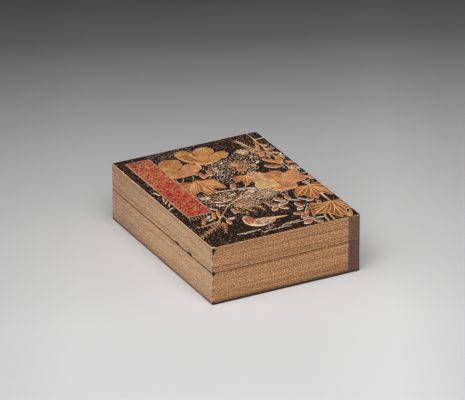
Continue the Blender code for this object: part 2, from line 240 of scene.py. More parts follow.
def modelled_reed(segments: int, shoulder: float = 0.15) -> Pattern:
    """Models a half-round reed along X, from 0 to 1.

    Args:
        segments: How many lengths it is made of.
        shoulder: How high its straight sides rise.

    Returns:
        The reed. Its section is 2 wide and 1 high, on a foot at height -1.
    """
    deselect_all()
    bpy.ops.mesh.primitive_plane_add(size=2.0, location=(0, 0, 0))
    mesh = bpy.context.object.data
    section = ((-1.0, -1.0), (1.0, -1.0), (-1.0, shoulder), (1.0, shoulder))
    for vert, (across, up) in zip(mesh.vertices, section):
        vert.co = (0, across, up)
    unselect_mesh()
    for edge in mesh.edges:
        edge.select = min(mesh.vertices[index].co.z for index in edge.vertices) > 0
    bpy.ops.object.mode_set(mode="EDIT")
    bpy.ops.mesh.subdivide(number_cuts=3)
    leave_edit()
    for vert in mesh.vertices:
        if vert.co.z > 0 and abs(vert.co.y) < 0.99:
            vert.co.z = shoulder + (1 - shoulder) * math.sqrt(1 - vert.co.y**2)
    enter_edit()
    for _ in range(segments):
        bpy.ops.mesh.extrude_region_move(TRANSFORM_OT_translate={"value": (1 / segments, 0, 0)})
    return taken_pattern(turn_outwards())


class Workshop:
    """Holds the small patterns that the raised lacquer is built from."""

    longest = 48

    def __init__(self) -> None:
        """Models each pattern once."""
        even_rings = [0.09] * 9
        self.petal = modelled_disc(72, [0.012, 0.03, 0.05] + even_rings)
        self.leaf = modelled_disc(180, [0.01, 0.025, 0.045] + even_rings)
        self.leaflet = modelled_disc(20, [0.05, 0.12, 0.25, 0.25])
        self.dot = modelled_disc(7, [0.3])
        self.fleck = modelled_disc(5, [])
        self.reeds = {count: modelled_reed(count) for count in (1, 3, 6, 12, 24, self.longest)}

    def reed(self, wanted: int) -> Pattern:
        """The reed with at least the wanted number of lengths."""
        return self.reeds[next((count for count in self.reeds if count >= wanted), self.longest)]


class Relief:
    """Raised forms on the cover, drawn from the workshop's patterns into one mesh."""

    sink = 0.15 * MM
    top = BOX.cover_top

    def __init__(self, shop: Workshop) -> None:
        """Starts an empty mesh.

        Args:
            shop: Holds the patterns.
        """
        self.shop = shop
        self.points: list[Vector] = []
        self.faces: list[tuple[int, ...]] = []
        self.marks: list[Marks] = []
        self.looks: list[int] = []

    def add(self, pattern: Pattern, place: Place, look: int = 0) -> None:
        """Adds one copy of a pattern.

        Args:
            pattern: The pattern.
            place: Gives each point's place in the frame and its marks.
            look: The material slot of its faces.
        """
        first = len(self.points)
        for point in pattern.points:
            where, marks = place(point)
            self.points.append(where)
            self.marks.append(marks)
        self.faces += [tuple(first + index for index in face) for face in pattern.faces]
        self.looks += [look] * len(pattern.faces)

    def plate(
        self, outline: Rim, middle: Vector, pattern: Pattern, edge: float, crown: float,
        look: int = 0, tone: float = 0.0, carve: Carve | None = None,
    ) -> None:
        """Adds a low domed plate.

        Args:
            outline: Gives the rim's point for an angle.
            middle: The point that the rings close on.
            pattern: The drum that is drawn to the outline.
            edge: The height of its rim above the cover.
            crown: How much higher its middle is.
            look: Its material slot.
            tone: Its share of the other colour.
            carve: Gives a change of height, a streak and a gleam for a point and its ring's share.
        """

        def place(point: Vector) -> Placed:
            """Draws a point of the drum to the plate.

            Args:
                point: The point.

            Returns:
                Its place and its marks.
            """
            reach = min(math.hypot(point.x, point.y), 1.0)
            where = middle + (outline(math.atan2(point.y, point.x)) - middle) * reach
            if point.z < -0.5:
                return Vector((*where, self.top - self.sink)), (1.0, 0.0, tone)
            height = edge * smooth(1.02, 0.985, reach) * 0.6 + edge * 0.4 + crown * (1 - reach**2.2)
            change, streak, gleam = carve(where, reach) if carve else (0.0, 0.0, 0.0)
            up = self.top + max(height + change, 0.02 * MM)
            return Vector((*where, up)), (max(reach, gleam), streak, tone)

        self.add(pattern, place, look)

    def stroke(
        self, path: Sequence[Vector], width: float, height: float, look: int = 0,
        taper: float = 0.4, base: float = 0.0, tone: float = 0.0, twist: float = 0.0,
    ) -> None:
        """Adds a half-round ridge along a smooth path.

        Args:
            path: Points that it passes through.
            width: Its width at the start.
            height: Its height above what it lies on.
            look: Its material slot.
            taper: How much narrower its end is.
            base: The height of what it lies on above the cover.
            tone: Its share of the other colour.
            twist: The length of one turn if it is a twisted thread, or 0.
        """
        total = sum((after - before).length for before, after in zip(path, path[1:]))
        wanted = 1 if len(path) == 2 else 3 * (len(path) - 1)

        def place(point: Vector) -> Placed:
            """Draws a point of the reed to the ridge.

            Args:
                point: The point.

            Returns:
                Its place and its marks.
            """
            share = min(max(point.x, 0.0), 1.0)
            centre, way = smooth_path(path, share)
            ends = smooth(-0.02, 0.06, share) * smooth(1.02, 0.9, share) if taper else 1.0
            size = (1 - taper * share) * (0.35 + 0.65 * ends)
            turns = share * total / twist + point.y * 0.25 if twist else 0.0
            swell = 0.8 + 0.2 * math.cos(math.tau * turns)
            where = centre + Vector((-way.y, way.x)) * point.y * width / 2 * size * swell
            up = self.top + base + (height * point.z * size * swell if point.z > 0 else -self.sink)
            return Vector((*where, up)), (abs(point.y), 0.0, tone)

        self.add(self.shop.reed(self.shop.longest if twist else wanted), place, look)

    def dot(self, centre: Vector, radius: float, height: float, look: int = 0, tone: float = 0.0) -> None:
        """Adds a low round seed.

        Args:
            centre: Its middle.
            radius: Its radius.
            height: Its height.
            look: Its material slot.
            tone: Its share of the other colour.
        """

        def place(point: Vector) -> Placed:
            """A point's place on the seed."""
            up = -self.sink if point.z < -0.5 else height * (1 - 0.55 * point.xy.length**2)
            return Vector((*(centre + point.xy * radius), self.top + up)), (1 - point.xy.length, 0.0, tone)

        self.add(self.shop.dot, place, look)

    def fleck(self, centre: Vector, radius: float, turn: float, tone: float) -> None:
        """Adds a tiny flat flake of metal foil.

        Args:
            centre: Its middle.
            radius: Its longer radius.
            turn: Its turn in radians.
            tone: Its share of the other colour.
        """
        turned = Matrix.Rotation(turn, 2)

        def place(point: Vector) -> Placed:
            """A point's place on the flake."""
            where = centre + turned @ Vector((point.x, point.y * 0.6)) * radius
            return Vector((*where, self.top + (-0.05 if point.z < -0.5 else 0.03) * MM)), (0.3, 0.0, tone)

        self.add(self.shop.fleck, place)

    def finish(self, name: str, looks: Sequence[str], slot: str = "gold_relief") -> None:
        """Makes the gathered forms one piece that rides with the box.

        Args:
            name: The piece's name.
            looks: The names of its materials, in slot order.
            slot: A material slot of the record; not used.
        """
        mesh = bpy.data.meshes.new(name)
        mesh.from_pydata(self.points, [], self.faces)
        mesh.update()
        set_marks(mesh, self.marks)
        mesh.polygons.foreach_set("material_index", self.looks)
        coat(mesh, looks)
        obj = bpy.data.objects.new(name, mesh)
        bpy.context.scene.collection.objects.link(obj)
        deselect_all()
        bpy.context.view_layer.objects.active = obj
        obj.select_set(True)
        enter_edit()
        turn_outwards()
        bpy.ops.object.shade_smooth_by_angle(angle=math.radians(38))
        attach(obj, "root")


def curve_point(start: Vector, first: Vector, end: Vector, last: Vector, t: float) -> Vector:
    """A place a share t of the way from start, left along first, to end, reached along last."""
    return start.lerp(end, t * t * (3 - 2 * t)) + (first * (1 - t) - last * t) * t * (1 - t)


def smooth_path(path: Sequence[Vector], share: float) -> tuple[Vector, Vector]:
    """A place and a direction on the smooth curve through a path's points.

    Args:
        path: The points.
        share: How far along, from 0 to 1.

    Returns:
        The place and the unit direction.
    """
    spans = len(path) - 1
    scaled = min(share * spans, spans - 1e-6)
    index = int(scaled)
    t = scaled - index
    start, end = path[index], path[index + 1]
    straight = end - start
    first = (end - path[index - 1]) / 2 if index > 0 else straight
    last = (path[index + 2] - start) / 2 if index < spans - 1 else straight
    way = straight * 6 * t * (1 - t) + first * (1 - t) * (1 - 3 * t) - last * t * (2 - 3 * t)
    return curve_point(start, first, end, last, t), (way if way.length > 1e-9 else straight).normalized()


def closed_rim(path: Sequence[Vector], count: int = 720, steps: int = 16) -> Rim:
    """A smooth closed curve through an outline's points, at an even pace.

    Args:
        path: The outline's points.
        count: How many places the curve is held by.
        steps: How many pieces each stretch of the outline is first cut into.

    Returns:
        The curve's point for an angle.
    """
    drawn = []
    for index, start in enumerate(path):
        before, end, after = (path[(index + shift) % len(path)] for shift in (-1, 1, 2))
        first, last = (end - before) / 2, (after - start) / 2
        drawn += [curve_point(start, first, end, last, step / steps) for step in range(steps)]
    lengths = [(after - before).length for before, after in zip(drawn, drawn[1:] + drawn[:1])]
    total = sum(lengths)
    places, at, walked = [], 0, 0.0
    for number in range(count):
        wanted = total * number / count
        while walked + lengths[at] < wanted:
            walked += lengths[at]
            at += 1
        places.append(drawn[at].lerp(drawn[(at + 1) % len(drawn)], (wanted - walked) / lengths[at]))

    def rim(angle: float) -> Vector:
        """The curve's point for an angle."""
        return places[round(angle / math.tau * count) % count]

    return rim


class Graph:
    """Adds nodes and links to one node tree."""

    def __init__(self, tree: NodeTree) -> None:
        """Works on a tree."""
        self.tree = tree

    def feed(self, node: Node, inputs: dict[int | str, object]) -> None:
        """Sets or links a node's inputs.

        Args:
            node: The node.
            inputs: A value, a socket or a signal for each named or numbered input.
        """
        for key, value in inputs.items():
            source = value.socket if isinstance(value, Signal) else value
            if isinstance(source, NodeSocket):
                self.tree.links.new(source, node.inputs[key])
            else:
                node.inputs[key].default_value = source

    def add(self, kind: str, inputs: dict[int | str, object] | None = None, **settings: object) -> Node:
        """Adds a node.

        Args:
            kind: The node's type.
            inputs: Its inputs' values, sockets or signals.
            settings: The node's own settings.

        Returns:
            The node.
        """
        node = self.tree.nodes.new(kind)
        row, column = divmod(len(self.tree.nodes), 12)
        node.location = (200 * column, -220 * row)
        for name, value in settings.items():
            setattr(node, name, value)
        self.feed(node, inputs or {})
        return node

    def values(
        self, kind: str, inputs: dict[int | str, object] | None = None, **settings: object
    ) -> list[Signal]:
        """Adds a node and gives its outputs in their order, as add does with the node."""
        return [Signal(self, socket) for socket in self.add(kind, inputs, **settings).outputs]

    def mix(self, share: object, first: object, second: object, blend: str = "MIX") -> Signal:
        """Mixes a share of a second colour into a first."""
        inputs = {0: share, 6: first, 7: second}
        return self.values("ShaderNodeMix", inputs, data_type="RGBA", blend_type=blend, clamp_factor=True)[2]

    def layers(self, color: object, *coats: tuple[object, object]) -> Signal:
        """Lays colours over one another.

        Args:
            color: The lowest colour.
            coats: The share and the colour of each coat above it.

        Returns:
            The colour that they make.
        """
        for share, tone in coats:
            color = self.mix(share, color, tone)
        return color

    def noise(self, where: object, scale: Numbers, detail: float = 1.0, rough: float = 0.5) -> Signal:
        """Noise about 0.5, with its own scale along each axis."""
        at = self.values("ShaderNodeMapping", {0: where, 3: scale})[0]
        return self.values("ShaderNodeTexNoise", {0: at, "Scale": 1, "Detail": detail, "Roughness": rough})[0]

    def marks(self) -> list[Signal]:
        """The three marks that each point of the mesh carries."""
        color = self.values("ShaderNodeAttribute", attribute_name="marks")[0]
        return self.values("ShaderNodeSeparateColor", {0: color})


@dataclass(frozen=True, eq=False)
class Signal:
    """A value or colour that changes over a surface, so that sums are written as arithmetic."""

    graph: Graph
    socket: NodeSocket

    def math(self, operation: str, other: object = 0.0) -> Signal:
        """What a Math node makes of this value and another."""
        return self.graph.values("ShaderNodeMath", {0: self, 1: other}, operation=operation)[0]

    def ramp(self, low: float, high: float) -> Signal:
        """Rises smoothly from 0 where this value is low to 1 where it is high."""
        limits = {0: self, 1: low, 2: high, 3: 0.0, 4: 1.0}
        return self.graph.values("ShaderNodeMapRange", limits, interpolation_type="SMOOTHSTEP")[0]

    def __add__(self, other: object) -> Signal:
        """The sum."""
        return self.math("ADD", other)

    def __sub__(self, other: object) -> Signal:
        """The difference."""
        return self.math("SUBTRACT", other)

    def __rsub__(self, other: float) -> Signal:
        """What is left of a number."""
        return self.graph.values("ShaderNodeMath", {0: other, 1: self}, operation="SUBTRACT")[0]

    def __mul__(self, other: object) -> Signal:
        """The product."""
        return self.math("MULTIPLY", other)

    def __lt__(self, other: object) -> Signal:
        """1 where it is less, and 0 elsewhere."""
        return self.math("LESS_THAN", other)

    def __gt__(self, other: object) -> Signal:
        """1 where it is more, and 0 elsewhere."""
        return self.math("GREATER_THAN", other)

    def __abs__(self) -> Signal:
        """The value without its sign."""
        return self.math("ABSOLUTE")


def new_group(
    name: str, inputs: dict[str, float | None], outputs: Sequence[str]
) -> tuple[NodeTree, Graph, list[Signal], Node]:
    """Starts a shader node group.

    Args:
        name: Its name.
        inputs: The default of each input, or None where it takes coordinates.
        outputs: The name of each value that it puts out.

    Returns:
        The group, a graph on it, its inputs and its output node.
    """
    tree = bpy.data.node_groups.new(name, "ShaderNodeTree")
    for label, default in inputs.items():
        kind = "NodeSocketVector" if default is None else "NodeSocketFloat"
        socket = tree.interface.new_socket(label, in_out="INPUT", socket_type=kind)
        if default is not None:
            socket.default_value = default
    for label in outputs:
        tree.interface.new_socket(label, in_out="OUTPUT", socket_type="NodeSocketFloat")
    graph = Graph(tree)
    return tree, graph, graph.values("NodeGroupInput"), graph.add("NodeGroupOutput")


def sprinkle_group() -> NodeTree:
    """Scattered metal flakes, as sprinkled under clear lacquer.

    Returns:
        The group. It puts out a mask of the flakes and a tone that differs from flake to flake.
    """
    tree, graph, source, sink = new_group(
        "sprinkled flakes", {"Vector": None, "Scale": 2200.0, "Share": 0.3, "Size": 0.35}, ("Mask", "Tone")
    )
    vector, scale, share, size = source[:4]
    distance, color = graph.values("ShaderNodeTexVoronoi", {"Vector": vector, "Scale": scale})[:2]
    draw, tone, _ = graph.values("ShaderNodeSeparateColor", {0: color})
    graph.feed(sink, {0: (draw < share) * (distance < size), 1: tone})
    return tree


def mottle_group() -> NodeTree:
    """Uneven age and rubbing on a metal finish.

    Returns:
        The group. It puts out a soft broad tone, a fine grain and a height.
    """
    tree, graph, source, sink = new_group(
        "aged mottling", {"Vector": None, "Broad": 90.0, "Fine": 1600.0}, ("Broad tone", "Grain", "Height")
    )
    vector = source[0]
    broad = graph.values("ShaderNodeTexNoise", {"Vector": vector, "Scale": source[1], "Detail": 3.0})[0]
    fine = graph.values("ShaderNodeTexNoise", {"Vector": vector, "Scale": source[2], "Detail": 2.0})[0]
    graph.feed(sink, {0: broad.ramp(0.3, 0.7), 1: fine.ramp(0.3, 0.7), 2: fine + broad * 0.5})
    return tree


@dataclass(frozen=True)
class Tones:
    """Colours of a raised metal finish, and how they vary over it."""

    base: Color
    shade: Color
    light: Color
    other: Color
    streaks: float = 0.6
    edge: float = 0.6
    edge_from: float = 0.9
    grain: float = 0.25
    roughness: float = 0.42
    metallic: float = 0.15


@dataclass(frozen=True)
class GroundTones:
    """Colours of the sprinkled black lacquer, and how densely it is sprinkled."""

    base: Color = srgb(30, 17, 10)
    other: Color = srgb(44, 27, 17)
    dull: Color = srgb(66, 45, 31)
    fine: Color = srgb(114, 85, 61)
    bright: Color = srgb(202, 176, 146)
    share: float = 0.28
    haze: Color = srgb(192, 144, 108)
    hazes: tuple[Numbers, ...] = ()


@dataclass(frozen=True)
class PageTones:
    """Colours of the lined walls, and the spacing of their rows."""

    base: Color = srgb(186, 134, 88)
    other: Color = srgb(179, 125, 80)
    light: Color = srgb(230, 180, 126)
    shade: Color = srgb(138, 89, 52)
    groove: Color = srgb(104, 62, 36)
    # Dark edge of the foot, with painted shade
    foot: Color = srgb(30, 7, 1)
    seam: Color = srgb(60, 28, 10)
    # Painted sheen of the fore-edge face
    fore: Color = srgb(196, 188, 174)
    # Painted light on the near half of the fore-edge face
    pale: Color = srgb(236, 196, 148)
    cloth: Color = srgb(122, 88, 64)
    cloth_dark: Color = srgb(90, 62, 46)
    worn: Color = srgb(236, 196, 150)
    core: Color = srgb(14, 9, 8)
    spacing: float = 1.95 * MM


class Finishes:
    """Makes the materials and the effects that they share."""

    def __init__(self) -> None:
        """Builds the shared effects once."""
        self.sprinkle = sprinkle_group()
        self.mottle = mottle_group()

    def start(
        self, name: str, roughness: float, metallic: float = 0.0, coat: float = 0.0, specular: float = 0.3
    ) -> tuple[Graph, Node, NodeSocket]:
        """Starts a material.

        Args:
            name: Its name.
            roughness: The shader's roughness.
            metallic: The shader's metallic share.
            coat: The weight of the clear lacquer over it.
            specular: The shader's specular level.

        Returns:
            A graph on it, its shader and its object coordinates.
        """
        material = bpy.data.materials.new(name)
        material.use_nodes = True
        graph = Graph(material.node_tree)
        shader = material.node_tree.nodes["Principled BSDF"]
        graph.feed(shader, {"Roughness": roughness, "Metallic": metallic, "Specular IOR Level": specular})
        graph.feed(shader, {"Coat Weight": coat, "Coat Roughness": 0.3})
        return graph, shader, graph.add("ShaderNodeTexCoord").outputs["Object"]

    def flakes(self, graph: Graph, where: object, scale: float, share: object, size: float) -> list[Signal]:
        """The mask and the tone of sprinkled flakes, in a material."""
        inputs = {"Vector": where, "Scale": scale, "Share": share, "Size": size}
        return graph.values("ShaderNodeGroup", inputs, node_tree=self.sprinkle)

    def ageing(self, graph: Graph, where: object, broad: float, fine: float) -> list[Signal]:
        """The broad tone, the grain and the height of aged mottling, in a material."""
        inputs = {"Vector": where, "Broad": broad, "Fine": fine}
        return graph.values("ShaderNodeGroup", inputs, node_tree=self.mottle)

    def dress(
        self, shader: Node, color: Signal, height: Signal, share: float = 0.4, depth: float = 0.05 * MM
    ) -> None:
        """Gives a shader its colour, and a share of a fine surface that is so deep."""
        bump = color.graph.values("ShaderNodeBump", {"Height": height, "Distance": depth, "Strength": share})
        color.graph.feed(shader, {"Base Color": color, "Normal": bump[0]})

    def ground(self, name: str, tones: GroundTones) -> None:
        """Black lacquer sprinkled with metal flakes.

        Args:
            name: The material's name.
            tones: Its colours and how densely it is sprinkled.
        """
        graph, shader, where = self.start(name, 0.5)
        patches, grain, height = self.ageing(graph, where, 60.0, 900.0)
        fine, fine_tone = self.flakes(graph, where, 2400.0, tones.share, 0.4)
        density = (patches * 0.4 + 0.62) * tones.share
        coarse, coarse_tone = self.flakes(graph, where, 1150.0, density, 0.36)
        color = graph.mix(grain, tones.base, tones.other)
        for x, y, reach, _, _, share in tones.hazes:
            spot = (*cover_point(x, y), BOX.cover_top)
            away = graph.values("ShaderNodeVectorMath", {0: where, 1: spot}, operation="DISTANCE")[1]
            near = away.ramp(reach * 1.15 * MM, reach * 0.75 * MM)
            color = graph.mix(near * (height.ramp(0.6, 0.9) * share), color, tones.haze)
        color = graph.layers(
            color,
            (fine, graph.mix(fine_tone, tones.dull, tones.fine)),
            (coarse, graph.mix(coarse_tone, tones.fine, tones.bright)),
        )
        graph.feed(shader, {"Metallic": fine.math("MAXIMUM", coarse) * 0.3})
        self.dress(shader, color, height, 0.3)

    def raised(self, name: str, tones: Tones) -> None:
        """Raised metal lacquer, lighter where its edge is rubbed.

        Args:
            name: The material's name.
            tones: Its colours and how they vary.
        """
        graph, shader, where = self.start(name, tones.roughness, tones.metallic, 0.1, 0.5)
        edge, streak, tone = graph.marks()
        patches, grain, height = self.ageing(graph, where, 140.0, 1900.0)
        color = graph.layers(
            tones.base,
            (patches, tones.shade),
            (tone, tones.other),
            (streak * tones.streaks, tones.shade),
            (grain * tones.grain, tones.light),
            (edge.ramp(tones.edge_from, 1.0) * tones.edge, tones.light),
        )
        self.dress(shader, color, height, depth=0.04 * MM)

    def pages(self, name: str, seam: float, tones: PageTones) -> None:
        """Gold lacquer lined like the edges of pages, with the dark cloth corners at the spine, painted sheen
        and painted light on the fore-edge face, and painted shade at the foot.

        Args:
            name: The material's name.
            seam: The height of the edge that meets the other half.
            tones: Its colours.
        """
        graph, shader, where = self.start(name, 0.5, coat=0.12)
        groove, chip, wear = graph.marks()
        x, y, z = graph.values("ShaderNodeSeparateXYZ", {0: where})
        patches = self.ageing(graph, where, 40.0, 1150.0)[0]
        lines = graph.noise(where, (12, 12, 1500), rough=0.6)
        grain = graph.noise(where, (1150, 1150, 1500), rough=0.6)
        weave = graph.noise(where, (700, 700, 1600), 2.0)
        rows = (z * (math.tau / tones.spacing) + graph.noise(where, (9, 9, 90)) * 5.0).math("SINE")
        # The fore-edge face, greyer with a painted sheen
        fore = x < 0.3 * MM - BOX.width / 2
        # The near half of the fore-edge face, which gets painted light
        to_tail = y.ramp(0.05, 0.005) * fore
        line_share = 0.55 - fore * 0.33
        grain_share = 0.85 - fore * 0.2
        at_end = BOX.length / 2 - abs(y) < 0.6 * MM
        # The foot: a dark edge with painted shade, stronger on the front and back ends as painted shade
        foot = (1.0 - z.ramp(1.0 * MM, 2.2 * MM)) * (at_end * 0.36 + 0.6)
        at_seam = 1.0 - abs(z - seam).ramp(0.1 * MM, 0.36 * MM)
        cloth = (x > BOX.width / 2 - BOX.cloth_width) * (abs(y) > BOX.length / 2 - BOX.cloth_wrap)
        fabric = graph.mix(weave.ramp(0.35, 0.65), tones.cloth_dark, tones.cloth)
        color = graph.layers(
            tones.base,
            (patches, tones.other),
            # Painted sheen: the fore-edge face is greyer
            (fore * 0.3, tones.fore),
            # Painted light: the near half of the fore-edge face is paler
            (to_tail * 0.42, tones.pale),
            # Darker towards the bottom
            ((1.0 - z.ramp(2.0 * MM, 13.0 * MM)) * 0.12, tones.shade),
            (rows.ramp(-0.1, -0.95) * (0.72 - (fore + to_tail) * 0.26), tones.shade),
            (lines.ramp(0.52, 0.4) * line_share, tones.shade),
            (lines.ramp(0.53, 0.66) * 0.7 * line_share, tones.light),
            (grain.ramp(0.5, 0.66) * grain_share, tones.light),
            (grain.ramp(0.5, 0.34) * grain_share, tones.shade),
            (groove * 0.8, tones.groove),
            # Painted shade in a band just above the foot, weaker on the fore-edge face
            ((1.0 - z.ramp(2.2 * MM, 4.8 * MM)) * (0.45 - fore * 0.25), tones.groove),
            (foot, tones.foot),
            (at_seam * (to_tail * 0.23 + (fore * 0.32 + 0.45)), tones.seam),
            # The cloth corners take the dark foot and its painted shade too
            (cloth, graph.mix(foot * 0.6, fabric, tones.foot)),
            (wear, tones.worn),
            (chip, tones.core),
        )
        self.dress(shader, color, lines)

    def slip(self, tones: Tones) -> None:
        """Red lacquer of the title slip, rubbed, and more golden towards the head.

        Args:
            tones: Its colours.
        """
        graph, shader, where = self.start("slip_red", 0.5)
        y = graph.values("ShaderNodeSeparateXYZ", {0: where})[1]
        patches, grain, height = self.ageing(graph, where, 420.0, 900.0)
        speck, speck_tone = self.flakes(graph, where, 620.0, 0.46, 0.46)
        color = graph.layers(
            tones.base,
            (patches, tones.shade),
            (y.ramp(0.012, 0.05) * 0.7, tones.other),
            (grain * 0.3, tones.light),
            (speck * 0.85, graph.mix(speck_tone, tones.shade, tones.light)),
        )
        self.dress(shader, color, height)

    def floor(self) -> None:
        """The pale paper that the box stands on, with painted light: darker away behind it as a painted
        falloff, and with painted shade and light to its sides.
        """
        graph, shader, where = self.start("floor_paper", 0.9, specular=0.5)
        away = PhotoCamera().away()
        right = Vector((away.y, -away.x, 0))
        # Painted light falloff behind the box, with painted shade and light to its sides
        depth = self.shades(graph, where, away - right * 0.08, FLOOR_PAINTED_FALLOFF)
        breadth = self.shades(graph, where, right, FLOOR_PAINTED_SIDE_LIGHT)
        graph.feed(shader, {"Base Color": graph.mix(1.0, depth, breadth, "MULTIPLY")})

    def shades(self, graph: Graph, where: object, way: Vector, stops: Sequence[Spot]) -> NodeSocket:
        """Greys that change along a direction.

        Args:
            graph: The material's graph.
            where: The coordinates.
            way: The direction.
            stops: Distances along it in millimetres, and the grey at each.

        Returns:
            The grey.
        """
        along = graph.values("ShaderNodeVectorMath", {0: where, 1: tuple(way)}, operation="DOT_PRODUCT")[1]
        first, span = stops[0][0], stops[-1][0] - stops[0][0]
        ramp = graph.add("ShaderNodeValToRGB", {0: (along - first * MM).math("DIVIDE", span * MM)})
        elements = ramp.color_ramp.elements
        while len(elements) < len(stops):
            elements.new(0.5)
        for element, (distance, shade) in zip(elements, stops):
            element.position = (distance - first) / span
            element.color = (shade, shade, shade, 1.0)
        return ramp.outputs[0]


def metal(*colors: tuple[int, int, int], **shares: float) -> Tones:
    """A finish from the screen values of its base, shade, light and other colour."""
    return Tones(*(srgb(*color) for color in colors), **shares)


# Where the seeds are longer and of a redder gold: x and y of the middle and the reach in millimetres, the
# share of red ones, the strokes' width, and how much gold dust lies between them
SPOTS = (
    (42, 78.6, 7.5, 0.5, 1, 0.6), (55, 71, 8.5, 0.12, 0.9, 0.75), (60, 33, 6, 0.5, 0.8, 0.4),
    (80, 27, 6, 0.6, 0.8, 0.35), (30, 67, 5, 0.5, 0.7, 0.35),
)
SLIP_TONES = metal((190, 30, 34), (92, 10, 12), (226, 112, 88), (92, 34, 16))

# Distance behind the box's middle in millimetres, and the floor's grey there, a painted light falloff
FLOOR_PAINTED_FALLOFF = (
    (-184, 0.70), (-92, 0.68), (-44, 0.62), (6, 0.57), (57, 0.49), (111, 0.397), (194, 0.238),
    (283, 0.088), (344, 0.044),
)
# Distance to the right of the box's middle in millimetres, and the floor's painted shade and light there
FLOOR_PAINTED_SIDE_LIGHT = (
    (-160, 0.87), (-125, 0.91), (-84, 0.995), (-20, 1.0), (40, 1.0), (85, 1.06), (125, 0.93), (160, 0.93),
)


class Metal(str, Enum):
    """The raised finishes, by the names of their materials."""

    OCHRE = "ochre_gold"
    PINK = "pink_gold"
    PALE = "pale_gold"
    LEAF = "leaf_gold"
    VEIN = "vein_gold"
    OVAL = "oval_gold"
    RIM = "rim_gold"
    SILVER = "silver"
    SEED = "seed_gold"
    PLUMAGE = "plumage_gold"
    BREAST = "breast_red"
    THREAD = "thread_gold"
    FRET = "fret_gold"
    # Dark lines: painted shade in the creases between petals, and dark feather marks on the bird
    CREASE = "crease_gold"
    LILAC = "lilac_silver"
    EDGING = "edging_gold"
    ORANGE = "orange_gold"


METAL_TONES = {
    Metal.OCHRE: metal(
        (206, 137, 70), (152, 86, 38), (250, 204, 140), (214, 148, 84), edge=0.7, edge_from=0.94
    ),
    Metal.PINK: metal(
        (226, 142, 82), (164, 92, 52), (252, 200, 150), (222, 150, 98), edge=0.6, edge_from=0.94
    ),
    Metal.PALE: metal((226, 173, 111), (178, 130, 74), (252, 224, 172), (232, 190, 130)),
    Metal.LEAF: metal(
        (152, 74, 26), (120, 54, 18), (240, 182, 112), (198, 108, 58), edge=0.85, edge_from=0.95
    ),
    Metal.VEIN: metal((246, 183, 116), (214, 146, 90), (254, 226, 182), (226, 164, 106)),
    Metal.OVAL: metal((164, 94, 48), (118, 62, 32), (240, 196, 150), (180, 92, 58), edge=0.15),
    Metal.RIM: metal((255, 228, 196), (222, 172, 132), (255, 246, 230), (238, 186, 150)),
    Metal.SILVER: metal((240, 226, 206), (176, 154, 134), (255, 252, 244), (176, 144, 120)),
    Metal.SEED: metal((255, 222, 176), (210, 158, 108), (255, 244, 218), (170, 114, 72)),
    Metal.PLUMAGE: metal((218, 168, 112), (124, 80, 46), (255, 228, 182), (222, 176, 122), streaks=0.9),
    Metal.ORANGE: metal(
        (204, 116, 62), (148, 74, 38), (248, 190, 134), (212, 130, 78), edge=0.6, edge_from=0.92
    ),
    Metal.BREAST: metal((202, 106, 68), (140, 62, 38), (236, 170, 128), (206, 118, 78)),
    Metal.THREAD: metal((238, 206, 158), (150, 108, 70), (254, 234, 196), (220, 184, 134)),
    Metal.FRET: metal((246, 188, 116), (196, 112, 66), (252, 214, 152), (150, 56, 30)),
    Metal.CREASE: metal((116, 54, 20), (110, 52, 22), (176, 104, 52), (160, 84, 38)),
    Metal.LILAC: metal((200, 146, 92), (150, 104, 64), (252, 208, 168), (220, 148, 106)),
    Metal.EDGING: metal((210, 162, 132), (150, 104, 76), (232, 196, 160), (190, 140, 104)),
}


class Skin(IntEnum):
    """What a face of a shell is, as the number of its material slot."""

    PAGES = 0
    OUTER = 1
    INNER = 2
    GILT = 3


class Side(Enum):
    """The walls in the order in which the outline runs, each with its outward direction."""

    FRONT = (0, -1)
    SPINE = (1, 0)
    BACK = (0, 1)
    FORE = (-1, 0)


@dataclass(frozen=True)
class Ring:
    """One ring of a shell: how far inside the outline it lies, its height, and what its faces are."""

    inset: float
    height: float
    look: Skin
    inner: bool = False
    groove: float = 0.0


